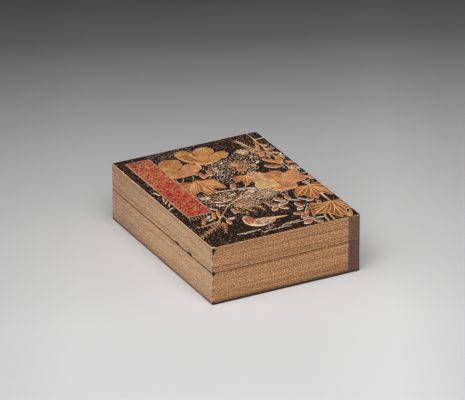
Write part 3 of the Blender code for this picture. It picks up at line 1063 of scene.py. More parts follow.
class Shell:
    """A hollow half of the box, built ring by ring round its outline."""

    corner_steps = 6
    coarse = 1.6 * MM
    fine = 0.35 * MM
    least_radius = 0.12 * MM
    deepest_groove = 0.12 * MM
    chip_depth = 0.45 * MM

    def __init__(self, name: str, chips: Sequence[Numbers]) -> None:
        """Starts a shell.

        Args:
            name: The piece's name.
            chips: Each chip's place along the fore-edge from the head, its height, its half length
                and its half height, in millimetres.
        """
        self.name = name
        self.chips = [[size * MM for size in chip] for chip in chips]
        outer = zip(Side, self.radii(Ring(0.0, 0.0, Skin.PAGES)))
        self.side_shares = [self.shares(side, first, last) for side, (first, last) in outer]

    def radii(self, ring: Ring) -> list[Spot]:
        """The radii of a ring's corners.

        Args:
            ring: The ring.

        Returns:
            The first and the last radius of each side, in the order in which the outline runs.
        """
        outer = (BOX.fore_radius, BOX.spine_tail_radius, BOX.spine_head_radius, BOX.fore_radius)
        drawn = [max(radius - ring.inset, self.least_radius) for radius in outer]
        if ring.inner:
            drawn = [BOX.inner_radius] * 4
        return list(zip(drawn, drawn[1:] + drawn[:1]))

    def shares(self, side: Side, first: float, last: float) -> list[float]:
        """Where the points of one side lie, finer near its ends, its chips and the cloth's edge.

        Args:
            side: The side.
            first: The radius of its first corner.
            last: The radius of its last.

        Returns:
            Shares of the side's straight stretch, in the order in which the outline runs.
        """
        span = BOX.width if side in (Side.FRONT, Side.BACK) else BOX.length
        cloth_edges = {
            Side.FRONT: [span - BOX.cloth_width],
            Side.SPINE: [BOX.cloth_wrap, span - BOX.cloth_wrap],
            Side.BACK: [BOX.cloth_width],
            Side.FORE: [],
        }[side]
        places = []
        at = first + 0.3 * MM
        while at < span - last - 0.2 * MM:
            places.append(at)
            near_end = min(at, span - at) < 3 * MM
            near_chip = side is Side.FORE and any(abs(at - chip[0]) < 2.2 * chip[2] for chip in self.chips)
            at += self.fine if near_end or near_chip else self.coarse
        places = [place for place in places if all(abs(place - edge) > 0.5 * MM for edge in cloth_edges)]
        places += [edge + shift for edge in cloth_edges for shift in (-0.05 * MM, 0.05 * MM)]
        return [(place - first) / (span - first - last) for place in sorted(places)]

    def outline(self, ring: Ring) -> list[tuple[Vector, Vector]]:
        """The points and outward directions of one ring.

        Args:
            ring: The ring.

        Returns:
            A point and a direction for each place round the box.
        """
        half_x, half_y = BOX.width / 2 - ring.inset, BOX.length / 2 - ring.inset
        corners = [Vector((x * half_x, y * half_y)) for x, y in ((-1, -1), (1, -1), (1, 1), (-1, 1))]
        points = []
        for number, (side, (first, last)) in enumerate(zip(Side, self.radii(ring))):
            start, end, out = corners[number], corners[(number + 1) % 4], Vector(side.value)
            along = (end - start).normalized()
            straight = (end - start).length - first - last
            for share in self.side_shares[number]:
                points.append((start + along * (first + share * straight), out))
            middle = end - along * last - out * last
            for step in range(self.corner_steps + 1):
                angle = math.pi / 2 * step / self.corner_steps
                way = out * math.cos(angle) + along * math.sin(angle)
                points.append((middle + way * last, way))
        return points

    def build(self, rings: Sequence[Ring], looks: Sequence[str]) -> Object:
        """Raises a ring of points step by step and gives each ring its place.

        Args:
            rings: The rings, from the first filled face to the last.
            looks: The names of its materials, in slot order.

        Returns:
            The shell, closed, with its marks.
        """
        layout = [self.outline(ring) for ring in rings]
        count = len(layout[0])
        deselect_all()
        bpy.ops.mesh.primitive_circle_add(vertices=count, radius=1.0, fill_type="NGON")
        obj = bpy.context.object
        enter_edit()
        for _ in rings[1:]:
            bpy.ops.mesh.extrude_region_move(TRANSFORM_OT_translate={"value": (0, 0, 1)})
        leave_edit()
        obj.name = obj.data.name = self.name
        marks = []
        levels = [round(vert.co.z) for vert in obj.data.vertices]
        for vert, level in zip(obj.data.vertices, levels):
            turn = round(math.atan2(vert.co.y, vert.co.x) / math.tau * count - 0.001) % count
            point, out = layout[level][turn]
            raised = Vector((point.x, point.y, rings[level].height))
            vert.co, mark = self.weathered(raised, out, rings[level])
            marks.append(mark)
        set_marks(obj.data, marks)
        for face in obj.data.polygons:
            lowest = min(levels[index] for index in face.vertices)
            full = lowest == max(levels[index] for index in face.vertices)
            face.material_index = rings[-1 if full and lowest else lowest].look
        enter_edit()
        turn_outwards()
        bpy.ops.object.shade_smooth_by_angle(angle=math.radians(35))
        coat(obj.data, looks)
        return obj

    def weathered(self, point: Vector, out: Vector, ring: Ring) -> Placed:
        """Draws a point of the wall in by its page line, its chips and its wear.

        Args:
            point: The point before.
            out: The wall's outward direction there.
            ring: Its ring.

        Returns:
            The point's place, and its marks: page line, chip and rubbed edge.
        """
        if ring.inner:
            return point, (0.0, 0.0, 0.0)
        near_spine = point.x > BOX.width / 2 - BOX.cloth_width
        on_cloth = near_spine and abs(point.y) > BOX.length / 2 - BOX.cloth_wrap
        around = uneven(point.x * 60, point.y * 60, point.z * 4000)
        depth = ring.groove * (0.1 if on_cloth else min(max(0.75 + 0.9 * around, 0.15), 1.2))
        chip = 0.0
        for from_head, height, half_length, half_height in self.chips:
            along = (BOX.length / 2 - point.y - from_head) / half_length
            up = (point.z - height) / half_height
            if out.x < -0.9 and ring.inset < 0.5 * MM:
                ragged = 1 + 0.25 * uneven(point.y * 900, point.z * 900, 3)
                chip = max(chip, smooth(0, 0.25, 1 - math.hypot(along, up) * ragged))
        reach = self.corner_damage(point.z) * (1 + 0.4 * uneven(0, 0, point.z * 700))
        reach *= 1.0 if out.y < -0.7 else 0.45
        if reach > 0:
            chip = max(chip, smooth(1.0, 0.7, self.from_corner(point) / reach))
        depth += self.chip_depth * chip
        marks = (min(depth / self.deepest_groove, 1.0) * (1 - chip), chip, self.rubbed(point, out))
        return point - Vector((out.x, out.y, 0)) * depth, marks

    def from_corner(self, point: Vector) -> float:
        """A point's level distance from the near corner."""
        return math.hypot(point.x + BOX.width / 2, point.y + BOX.length / 2)

    def corner_damage(self, height: float) -> float:
        """How far the broken lacquer reaches from the near corner.

        Args:
            height: A height above the floor.

        Returns:
            The reach there, or 0.
        """
        top = 2.0 * MM * smooth(29.0 * MM, 30.6 * MM, height) * smooth(34.2 * MM, 33.8 * MM, height)
        seam = 2.3 * MM * smooth(2.0 * MM, 0.3 * MM, abs(height - BOX.base_top + 0.3 * MM))
        worn = 0.6 if height < BOX.base_top else 0.5
        return max(top, seam, worn * MM * smooth(-0.2, 0.15, uneven(height * 420, 7, 1)))

    def rubbed(self, point: Vector, out: Vector) -> float:
        """How far the gold is rubbed light at an edge.

        Args:
            point: A point of the wall.
            out: The wall's outward direction there.

        Returns:
            A share from 0 to 1.
        """
        at_top = smooth(0.7 * MM, 0.15 * MM, BOX.cover_top - point.z)
        rim = max(at_top, 0.5 * smooth(0.5 * MM, 0.1 * MM, abs(point.z - BOX.lid_bottom)))
        facing = 0.7 if out.x < -0.5 else 0.25
        share = rim * (0.5 + uneven(point.x * 150, point.y * 150, 5)) * facing
        bare = smooth(2.4 * MM, 1.6 * MM, self.from_corner(point)) * smooth(33.4 * MM, 33.8 * MM, point.z)
        return max(min(max(share, 0.0), 0.7), bare)


def page_rings(low: float, high: float, seed: int) -> list[Ring]:
    """The rings of a lined wall, one narrow groove after another.

    Args:
        low: The lined part's lowest height.
        high: Its highest.
        seed: Starts the uneven spacing.

    Returns:
        The rings from low to high.
    """
    dice = random.Random(seed)
    rings = []
    at = low
    while at < high - 0.5 * MM:
        pitch = dice.choice((0.55, 0.7, 0.9, 1.15)) * MM
        strong = dice.random() < 0.5
        depth = dice.uniform(0.08, 0.13) * MM if strong else dice.uniform(0.02, 0.05) * MM
        for rise, groove in ((0.0, 0.0), (0.35, 0.3), (0.6, 1.0), (0.85, 0.3)):
            rings.append(Ring(0.0, at + pitch * rise, Skin.PAGES, groove=depth * groove))
        at += pitch
    rings.append(Ring(0.0, high, Skin.PAGES))
    return rings


@dataclass
class LidShell:
    """The lid's hollow body."""

    finishes: Finishes
    soften: float = 0.3 * MM
    chips: tuple[Numbers, ...] = ((78.8, 19.0, 1.9, 1.2), (93.4, 19.0, 2.6, 1.2))

    def build(self) -> None:
        """Builds and dresses the lid's body."""
        wall, low, top, soft = BOX.lid_wall, BOX.lid_bottom, BOX.cover_top, self.soften
        rings = [
            Ring(wall, top - BOX.lid_panel, Skin.INNER, inner=True),
            Ring(wall, low + soft, Skin.INNER, inner=True),
            Ring(wall - 0.1 * MM, low, Skin.GILT, inner=True),
            Ring(2.2 * soft, low, Skin.PAGES),
            Ring(soft, low, Skin.PAGES),
            Ring(0.08 * MM, low + 0.08 * MM, Skin.PAGES),
            *page_rings(low + soft, top - soft, 11),
            Ring(0.03 * MM, top - 0.15 * MM, Skin.PAGES),
            Ring(0.12 * MM, top - 0.04 * MM, Skin.PAGES),
            Ring(0.28 * MM, top, Skin.OUTER),
            Ring(1.2 * MM, top, Skin.OUTER),
        ]
        self.finishes.pages("lid_pages", low, PageTones())
        self.finishes.ground("cover_black", GroundTones(hazes=SPOTS))
        self.finishes.ground("inner_black", GroundTones(bright=srgb(190, 146, 92), share=0.5))
        self.finishes.raised("lid_rim_gold", METAL_TONES[Metal.OCHRE])
        looks = ("lid_pages", "cover_black", "inner_black", "lid_rim_gold")
        lid = Shell("lid_shell", self.chips).build(rings, looks)
        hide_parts("lid")
        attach(lid, "root")


@dataclass
class BaseShell:
    """The base's hollow body with the lip that keeps the lid in place."""

    finishes: Finishes
    soften: float = 0.4 * MM
    lip_soften: float = 0.25 * MM
    chips: tuple[Numbers, ...] = ((79.2, 18.7, 1.5, 0.7), (93.8, 18.7, 2.0, 0.8))

    def build(self) -> None:
        """Builds and dresses the base's body."""
        top, soft, lip, lip_soft = BOX.base_top, self.soften, BOX.lip_inset, self.lip_soften
        inside, lip_top = lip + BOX.lip_thickness, top + BOX.lip_rise
        rings = [
            Ring(1.4 * MM, 0.0, Skin.OUTER),
            Ring(soft, 0.0, Skin.OUTER),
            Ring(0.12 * MM, 0.12 * MM, Skin.OUTER),
            Ring(0.0, soft, Skin.PAGES),
            *page_rings(soft + 0.1 * MM, top - 0.25 * MM, 23),
            Ring(0.06 * MM, top - 0.08 * MM, Skin.PAGES),
            Ring(0.25 * MM, top, Skin.PAGES),
            Ring(0.8 * MM, top, Skin.GILT),
            Ring(lip - 0.02 * MM, top, Skin.GILT, inner=True),
            Ring(lip, top + 0.05 * MM, Skin.INNER, inner=True),
            Ring(lip, lip_top - lip_soft, Skin.INNER, inner=True),
            Ring(lip + lip_soft, lip_top, Skin.GILT, inner=True),
            Ring(inside - lip_soft, lip_top, Skin.GILT, inner=True),
            Ring(inside, lip_top - lip_soft, Skin.INNER, inner=True),
            Ring(inside, BOX.base_floor + 0.3 * MM, Skin.INNER, inner=True),
            Ring(inside + 0.3 * MM, BOX.base_floor, Skin.INNER, inner=True),
        ]
        cloth = PageTones(cloth=srgb(110, 74, 66), cloth_dark=srgb(80, 52, 48))
        self.finishes.pages("base_pages", top, cloth)
        self.finishes.ground("underside_black", GroundTones(bright=srgb(150, 126, 96), share=0.24))
        self.finishes.ground("base_inner_black", GroundTones(bright=srgb(190, 146, 92), share=0.5))
        self.finishes.raised("base_rim_gold", METAL_TONES[Metal.OCHRE])
        looks = ("base_pages", "underside_black", "base_inner_black", "base_rim_gold")
        base = Shell("base_shell", self.chips).build(rings, looks)
        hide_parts("base")
        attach(base, "root")


@dataclass(frozen=True)
class Petal:
    """A broad petal: its outline and its heart on the cover in millimetres, and its finish."""

    outline: Numbers
    heart: Numbers
    rays: float = 0.4
    metal: Metal = Metal.OCHRE
    tone: float = 0.0


@dataclass(frozen=True)
class Fold:
    """A dark crease of painted shade or a light curled edge on a petal: its points and width in millimetres,
    and its finish.
    """

    points: Numbers
    width: float
    metal: Metal


HEAD_PETALS = (
    Petal((
        45, 9.2, 43.4, 6.6, 41.5, 4.6, 39.4, 4, 37.2, 5.4, 35.4, 6.6, 34.9, 9.6, 35.3, 13, 36.3, 16.4,
        37.8, 19.6, 40, 21.2, 43.6, 21.6, 46.4, 18.6, 46.2, 13.6,
    ), (44.8, 19.4), rays=0.2, tone=0.4),
    Petal((
        41.2, 20.4, 40.4, 22.6, 42, 24.6, 44.6, 25.6, 47.6, 26, 50.8, 25.4, 53.6, 24.2, 55.4, 22.6,
        53, 20.2, 48.6, 18.6, 44, 18.8,
    ), (47, 19), rays=0.3, tone=0.2),
    Petal((
        49.6, 18.4, 52.4, 16.2, 56.4, 14.7, 60, 14.4, 62.1, 15.7, 62, 18.2, 61, 20.8, 59.2, 22.8, 57, 22.2,
        54.6, 23, 51, 22.6, 48.2, 20.8,
    ), (46, 19.8), rays=0.4, tone=0.5),
    Petal((
        45.2, 9.4, 46.8, 7.4, 49, 5.9, 51.6, 5.2, 54.2, 5.8, 56.1, 7.2, 57.2, 9.6, 57, 12, 56, 14.2,
        53.6, 16.4, 50.6, 18.4, 46.6, 19.2, 44.6, 16.2, 44.2, 12.4,
    ), (46.4, 19), rays=0.3, tone=0.3),
)
# In the folds, the dark creases are painted shade between overlapping petals
HEAD_FOLDS = (
    Fold((45, 9.6, 44.4, 13, 45.4, 17.6), 0.7, Metal.CREASE),
    Fold((56.9, 14.3, 53.6, 16.3, 50.2, 18.8), 0.9, Metal.CREASE),
    Fold((36.2, 11.2, 38.6, 11, 40.6, 13, 42, 16.4, 42.6, 20), 1.1, Metal.CREASE),
    Fold((37.2, 14, 38.8, 16.2, 40.4, 19.4), 2.2, Metal.LEAF),
    Fold((35.2, 12.4, 36.2, 16, 37.8, 19.8), 1, Metal.PALE),
    Fold((43, 10, 42.9, 14, 43.9, 18), 0.8, Metal.VEIN),
    Fold((51.2, 18.2, 54, 16.9, 57, 15.4), 0.7, Metal.VEIN),
    Fold((40.8, 22, 43.4, 24.6, 48, 25.4, 53.4, 23.6), 0.7, Metal.VEIN),
)
SIDE_PETALS = (
    Petal((
        20.8, 30.4, 26, 29.8, 31, 30, 35.6, 30.2, 38, 31.4, 35.2, 33.2, 31, 34.4, 26.4, 34.5, 22.4, 34,
        20.8, 32.6,
    ), (21, 32), metal=Metal.PINK, tone=0.2),
    Petal((
        20.7, 26, 20.7, 19, 21.2, 15.4, 22.6, 12.6, 25, 11, 27.8, 10.6, 30.4, 11.8, 32.8, 12.4, 33.9, 15,
        33.7, 18.2, 32.8, 21, 31, 23.4, 28, 25.8, 24.6, 29, 21.4, 31.6,
    ), (22.6, 33), rays=0.45),
    Petal((
        21, 32, 24.2, 28.4, 28, 25.6, 31.4, 22.8, 34, 21.2, 37, 20.9, 39.2, 22.8, 40.8, 24.4, 41.4, 27.2,
        40.2, 29.8, 36, 30.6, 31, 31.2, 26, 32.6, 22.6, 33.4,
    ), (22, 33), metal=Metal.PINK, tone=0.3),
)
SIDE_FOLDS = (
    Fold((27.4, 26.6, 29.6, 24.8, 31.8, 22.8), 0.7, Metal.CREASE),
    Fold((24, 32.8, 28, 31.6, 33, 31), 0.5, Metal.CREASE),
    Fold((40.6, 25, 41.1, 27.2, 39.8, 29.6, 35, 30.4), 0.6, Metal.VEIN),
)
SPINE_PETALS = (
    Petal((
        58.4, 59.6, 57.8, 54, 58.2, 49.8, 60, 47.4, 62.4, 46.2, 65, 47, 66.8, 49.2, 69, 51.4, 68.4, 55,
        67.6, 60, 63, 61.6,
    ), (66, 64), rays=0.6, metal=Metal.LILAC, tone=0.2),
    Petal((
        66.4, 61, 65.6, 55.4, 66.4, 52.2, 68.5, 50.6, 71.2, 50.9, 73.6, 50.2, 75.9, 51, 77.5, 53,
        77.6, 55.6, 76, 59, 74, 63, 71, 66.6, 68.4, 65.6,
    ), (71, 68), rays=0.15, metal=Metal.PINK, tone=0.1),
    Petal((
        71.4, 69.6, 74.6, 66.6, 78.8, 63.6, 82.4, 61.9, 85.4, 61.6, 86.6, 63.6, 86, 66.6, 83.2, 68.1,
        79.4, 68.7, 75.6, 70, 72.6, 71,
    ), (69, 70), rays=0.6, metal=Metal.PINK),
    Petal((
        71, 68, 71.8, 63.6, 73.8, 59.6, 76.5, 56.2, 79, 54.9, 82, 53.8, 84.9, 53.7, 86.3, 57.2, 85, 60.2,
        82.6, 62.6, 79.4, 64.6, 75.6, 67.2, 72.6, 69,
    ), (70, 69.4), rays=0.55, metal=Metal.PINK, tone=0.3),
    Petal((
        63.2, 70.2, 62.7, 72, 64.6, 74.1, 68.2, 75.1, 72.2, 75, 76, 74.4, 77.6, 71.4, 77, 69.2, 73.6, 67.6,
        68.4, 67.8,
    ), (70.6, 65), rays=0.3, metal=Metal.PINK),
    Petal((
        68.7, 69.2, 68.5, 66.4, 67.4, 63.4, 65.6, 60.9, 62.8, 59.7, 59.8, 59.6, 57.4, 60.4, 56.2, 62.6,
        56.5, 65.2, 58.6, 67.1, 62, 68.2, 65.4, 69.2,
    ), (70.4, 69.4), rays=0.15, metal=Metal.PALE),
)
SPINE_FOLDS = (
    Fold((59.9, 46, 58.6, 49.6), 0.8, Metal.VEIN),
    Fold((62.2, 44.8, 61.2, 49), 0.8, Metal.VEIN),
    Fold((64.4, 45.2, 63.8, 49.4), 0.8, Metal.VEIN),
    Fold((66.6, 48.2, 66, 52), 0.8, Metal.VEIN),
    Fold((58.4, 54, 60.4, 58.6), 1.6, Metal.OCHRE),
    Fold((68.2, 61.4, 69.3, 64.2, 69.4, 67.4), 0.8, Metal.CREASE),
    Fold((67, 60.6, 68.6, 62.2, 69.9, 65), 1.3, Metal.VEIN),
    Fold((73.2, 63.6, 75, 59.6, 77.6, 56.2), 0.6, Metal.VEIN),
    Fold((74.8, 66.6, 78.4, 64, 81.8, 62), 0.6, Metal.VEIN),
    Fold((63.4, 68.5, 66.4, 69, 68.4, 68.8, 68.4, 66), 1, Metal.VEIN),
    Fold((72, 70.4, 75.6, 69.4, 79.4, 68.2), 0.5, Metal.VEIN),
)
# Flower: the name of its piece, its petals from the lowest to the uppermost, and its folds
BLOSSOMS = (
    ("blossom_head", HEAD_PETALS, HEAD_FOLDS),
    ("blossom_side", SIDE_PETALS, SIDE_FOLDS),
    ("blossom_spine", SPINE_PETALS, SPINE_FOLDS),
)


@dataclass
class Blossoms:
    """The three large flowers, each of petals that lie one over another."""

    shop: Workshop
    lift: float = 0.15 * MM
    layer: float = 0.045 * MM
    dome: float = 0.16 * MM
    fold_base: float = 0.42 * MM
    fold_height: float = 0.08 * MM
    metals: tuple[str, ...] = (
        Metal.OCHRE, Metal.PINK, Metal.PALE, Metal.CREASE, Metal.LEAF, Metal.VEIN, Metal.LILAC,
    )

    def build(self) -> None:
        """Builds each flower as one piece."""
        for name, petals, folds in BLOSSOMS:
            pile = Relief(self.shop)
            for number, petal in enumerate(petals):
                self.add_petal(pile, petal, self.lift + self.layer * number)
            # The dark crease folds are painted shade where one petal lies over another
            for fold in folds:
                path, look = cover_path(*fold.points), self.metals.index(fold.metal)
                pile.stroke(path, fold.width * MM, self.fold_height, look, taper=0.3, base=self.fold_base)
            pile.finish(name, self.metals)

    def add_petal(self, pile: Relief, petal: Petal, lift: float) -> None:
        """Adds one petal, carved with rays from its heart.

        Args:
            pile: Where it goes.
            petal: The petal.
            lift: The height of its rim.
        """
        heart, outline = cover_point(*petal.heart), cover_path(*petal.outline)
        middle = sum(outline, Vector((0, 0))) / len(outline)
        reach = 2 * (middle - heart).length

        def carve(point: Vector, share: float) -> Marks:
            """Cuts the rays.

            Args:
                point: A place on the petal.
                share: Its ring's share of the outline.

            Returns:
                The change of height, the streak and the gleam there.
            """
            offset = point - heart
            far = offset.length / reach
            waver = 2.2 * uneven(point.x * 260, point.y * 260, 1)
            wave = math.cos(math.atan2(offset.y, offset.x) * 58 + waver)
            inner = smooth(0.05, 0.3, far) * smooth(1.0, 0.9, share)
            cloud = uneven(point.x * 330, point.y * 330, 7)
            streak = (0.25 + 1.25 * petal.rays) * inner * smooth(-0.1, 0.9, wave)
            streak += 0.5 * smooth(0.0, 0.5, cloud) + 0.5 * smooth(0.3, 0.0, far)
            light = inner * smooth(-0.2, -0.9, wave) * (0.35 + 0.9 * petal.rays)
            light += 0.6 * smooth(0.0, -0.5, cloud)
            return -0.03 * MM * inner * petal.rays * wave, min(streak, 1.0), 0.9 + 0.1 * min(light, 1.0)

        look = self.metals.index(petal.metal)
        pile.plate(closed_rim(outline), middle, self.shop.petal, lift, self.dome, look, petal.tone, carve)


@dataclass(frozen=True)
class LobedLeaf:
    """A veined leaf: its outline, its middle and its main and side veins in millimetres, and its tone."""

    outline: Numbers
    middle: Numbers
    mains: tuple[Numbers, ...]
    sides: tuple[Numbers, ...]
    tone: float


LOBED_LEAVES = (
    LobedLeaf((
        20.7, 41.8, 24.4, 41.2, 28, 42.6, 31, 41.6, 34.6, 42.6, 38, 43, 40.6, 44.2, 40.9, 48, 41.5, 52,
        41.7, 55, 40.9, 57.4, 38.4, 55.8, 35.4, 54, 34.7, 56.4, 34.8, 58.6, 33, 60.2, 30.8, 59.8,
        28.4, 59.2, 27.6, 56.8, 26.8, 55, 24.4, 56.3, 22.2, 57.6, 20.7, 58.8,
    ), (31, 48.6), (
        (30.6, 42.8, 35, 49, 41, 56.6), (30.4, 42.8, 26, 46, 21.4, 53.5), (30.8, 43, 30.6, 50, 31.6, 58.6),
    ), (
        (28.6, 44.4, 25.6, 50, 23.2, 56.2), (29.6, 45.8, 28, 51, 26.2, 55.2),
        (30.2, 49, 29.4, 53.6, 28.8, 57.8), (31.8, 46.4, 33, 52, 33.6, 57.6),
        (33, 47.4, 34.6, 50.8, 35.2, 54), (31.6, 44.2, 36.6, 45.2, 40.4, 46.2),
        (33.4, 46.8, 37.4, 48, 40.8, 50.2), (35.6, 49.8, 38.6, 51.2, 41.3, 53.6),
        (26.6, 45.6, 23.6, 44.6, 21.2, 45.2), (25, 47, 23, 47.6, 21, 49.4),
        (27.8, 45.2, 24.8, 49.6, 21.8, 56.2), (29.2, 45.2, 26.8, 50, 24.7, 55.4),
        (24.6, 48.6, 22.6, 50.4, 21.2, 55), (30.9, 47.4, 30.2, 53, 30.2, 57.8),
        (32.2, 45.4, 37, 46.4, 40.6, 48.2), (34.6, 48.4, 38, 49.6, 41, 52),
    ), 0.35),
    LobedLeaf((
        58.4, 48.2, 56, 47.2, 53, 46.9, 51, 48.6, 49.8, 51.4, 48.7, 54.1, 51.4, 53.3, 53.4, 53, 52.7, 56,
        52.4, 58.2, 53.9, 59.6, 56, 57.4, 57.6, 56.8, 58.4, 58.8, 60.2, 55, 60.6, 50.4,
    ), (55.8, 51.4), (
        (58.2, 48.6, 54, 50.4, 49.4, 53.6), (58.2, 48.8, 56, 53.6, 53.9, 59),
        (58.4, 48.8, 59, 53, 58.4, 58.2),
    ), (
        (56.8, 49.2, 53.8, 48.4, 51.2, 49.4), (57.2, 50.2, 54.8, 52, 53.2, 55),
        (58, 51, 57.4, 54, 56.2, 56.8), (59, 50.6, 60, 52.8, 59.8, 55.4),
    ), 0.3),
    LobedLeaf((
        74.8, 74.8, 78.4, 74.2, 81.8, 75, 84.2, 74.2, 87, 73.8, 89.4, 74, 89.4, 84, 89.4, 90.8, 87.2, 89.8,
        85.2, 87.2, 82.8, 87.4, 81, 89.6, 79, 90.8, 77, 89.4, 75.6, 87, 74.8, 84.6, 72.4, 84.4, 69.8, 85.1,
        70.4, 82, 71.6, 79.4, 73.4, 77,
    ), (80.6, 80.6), (
        (82.6, 75.4, 76.4, 79.4, 70.6, 84.4), (82.6, 75.6, 80.4, 83, 78.9, 90.2),
        (82.8, 75.6, 86, 83, 88.8, 90), (82.8, 75.2, 86.2, 76.4, 89.2, 78.4),
    ), (
        (80.8, 76, 77.6, 75.6, 75.4, 75.4), (79.4, 77.2, 76.2, 77.4, 73.4, 78.2),
        (77.6, 78.8, 74.8, 80.2, 71.8, 81.4), (80.8, 77.6, 77.6, 81.6, 75, 84.4),
        (81, 80.2, 79, 84.2, 76.8, 88.2), (82.4, 78.2, 82.2, 83, 82.4, 87),
        (83.4, 79, 84.6, 83.6, 85.2, 86.8), (84, 77.8, 86.8, 80.4, 89.2, 82.8),
        (85.2, 80.8, 87.4, 84, 89.2, 86.8),
    ), 0.1),
    LobedLeaf((
        74, 95.4, 77.4, 98.6, 80.4, 97.8, 82.8, 97.4, 85, 98.4, 87.4, 98, 89.4, 99, 89.4, 109.2,
        87.4, 110.4, 85.4, 112, 84.2, 114.6, 83.6, 119.3, 81.8, 116.4, 79.8, 118.8, 78.4, 115.6,
        76.8, 113.4, 75.6, 110.4, 72.2, 109.6, 69.6, 109, 66.6, 110.2, 67.8, 105.8, 69.2, 102.6, 70, 99.6,
        71.4, 96.8,
    ), (79.4, 104.4), (
        (83.8, 98.8, 76, 104, 67.4, 109.6), (83.8, 98.8, 82, 108, 79.9, 118.2),
        (83.8, 98.8, 77.6, 99, 71.8, 97.4), (84, 99, 86.8, 104, 88.9, 109),
    ), (
        (80.6, 99.8, 76, 101.2, 71, 101.4), (78.6, 102, 74.4, 103.6, 69.6, 104.6),
        (76.4, 103.8, 73, 105.6, 69, 107.4), (80.4, 101.4, 77, 105.8, 72.4, 109.2),
        (82, 101.6, 78.8, 106.8, 75.4, 110.4), (82.6, 103.8, 80.2, 109, 77.4, 113.4),
        (83.4, 104, 83.6, 111, 83.6, 118.4), (82.6, 108, 81.6, 112, 81.6, 116),
        (84.8, 102.6, 86, 107, 86.2, 111), (84.8, 99.4, 87.2, 99.6, 89.2, 100.4),
        (85.6, 101.2, 87.6, 102.6, 89.2, 104.4),
    ), 0),
)


@dataclass
class Leaves:
    """The large lobed leaves, with their raised veins."""

    shop: Workshop
    lift: float = 0.2 * MM
    layer: float = 0.03 * MM
    dome: float = 0.07 * MM
    vein_base: float = 0.05 * MM

    def build(self) -> None:
        """Builds the leaves and their veins."""
        plates, veins = Relief(self.shop), Relief(self.shop)
        for number, leaf in enumerate(LOBED_LEAVES):
            lift = self.lift + self.layer * number
            rim, middle = closed_rim(cover_path(*leaf.outline)), cover_point(*leaf.middle)
            plates.plate(rim, middle, self.shop.leaf, lift, self.dome, tone=leaf.tone)
            for group, width, taper in ((leaf.mains, 0.85, 0.35), (leaf.sides, 0.66, 0.2)):
                for vein in group:
                    height, base = 0.18 * MM * width, lift + self.vein_base
                    veins.stroke(cover_path(*vein), width * MM, height, base=base, taper=taper)
        plates.finish("lobed_leaves", [Metal.LEAF])
        veins.finish("leaf_veins", [Metal.VEIN])


# Oval leaf: x and y of its foot, x and y of its tip, width, tone
OVAL_LEAVES = (
    (55.4, 90.2, 50.6, 94.2, 3, 0.2), (56, 91, 58.8, 95.6, 2.9, 0), (56.6, 90, 63.2, 87.4, 2.7, 0.1),
    (55, 89.8, 51.7, 85, 3.2, 0), (62.2, 86.2, 57.8, 81.4, 3.6, 0.8), (65, 85.8, 65.4, 81, 2.9, 1),
    (67, 97, 65.7, 90.9, 3, 0.1), (66.6, 97.6, 63.1, 99.4, 2.6, 0.2), (64.8, 104, 58.5, 102.9, 3.3, 0.2),
    (65.4, 105.2, 60.4, 109.8, 3.5, 0.5), (65.2, 105, 69.6, 99.1, 2.1, 0),
    (64, 113.6, 58.1, 116.4, 3.3, 0.7), (65.4, 113.6, 67.8, 118.6, 3.3, 0.2),
    (77, 91.2, 72.6, 91.2, 2.7, 0.8), (44.2, 60, 47, 54.5, 2.9, 0.9), (23.6, 93, 22.5, 98.2, 2.4, 0.8),
    (30.4, 75.8, 26.5, 73.8, 2.6, 0.3), (37.6, 69.6, 32.1, 72.2, 2.3, 0.4),
    (60.8, 109.6, 65.2, 112.5, 1.8, 0), (32.6, 83.4, 30.9, 87.6, 2.1, 0.8),
    (79.4, 94.2, 76.3, 98.1, 2.1, 0.3), (89.4, 66.8, 86.6, 63.7, 2, 0.9), (27, 93.4, 24.6, 91.7, 1.2, 0),
)
# Silver leaf: x and y of its foot, x and y of its tip, width
SILVER_LEAVES = (
    (14.4, 86.6, 17.4, 84.2, 1.8), (13.8, 89.8, 17, 87.8, 1.5), (24.4, 92.6, 28.6, 91.8, 1.7),
    (21, 76, 23.6, 79.4, 1.4), (26.6, 70.4, 31.6, 73, 1.2), (51.4, 62.4, 55, 65.6, 1.2),
    (50, 66, 53.2, 68.2, 1.5), (70.4, 36.8, 73.6, 35, 1.7), (43.2, 72.4, 48.8, 71.6, 1),
    (37.4, 67.6, 42.4, 65.8, 1.4), (46, 62.4, 49.4, 64.4, 1), (64.8, 86.4, 69.4, 89.6, 1.2),
    (69.4, 86.2, 73, 91, 0.9), (83, 88.4, 85, 87, 1.4), (70, 96.8, 71.4, 95.2, 1),
    (68.2, 97.4, 69, 95, 0.9), (66.8, 112.6, 72.4, 113.6, 0.9), (62.8, 100.2, 64.6, 99, 1),
    (61.8, 19.8, 63, 17.4, 0.9), (46.4, 33.6, 49, 32, 1.4), (52.4, 28.8, 54.4, 27.6, 1.2),
    (70.8, 29.6, 73.2, 27.4, 1.4), (87.4, 33.4, 89.2, 31.2, 1.4), (58, 94.4, 59.6, 95.8, 0.9),
    (58.2, 116.8, 60, 115.8, 1), (65.2, 117.6, 66.8, 117, 1),
)
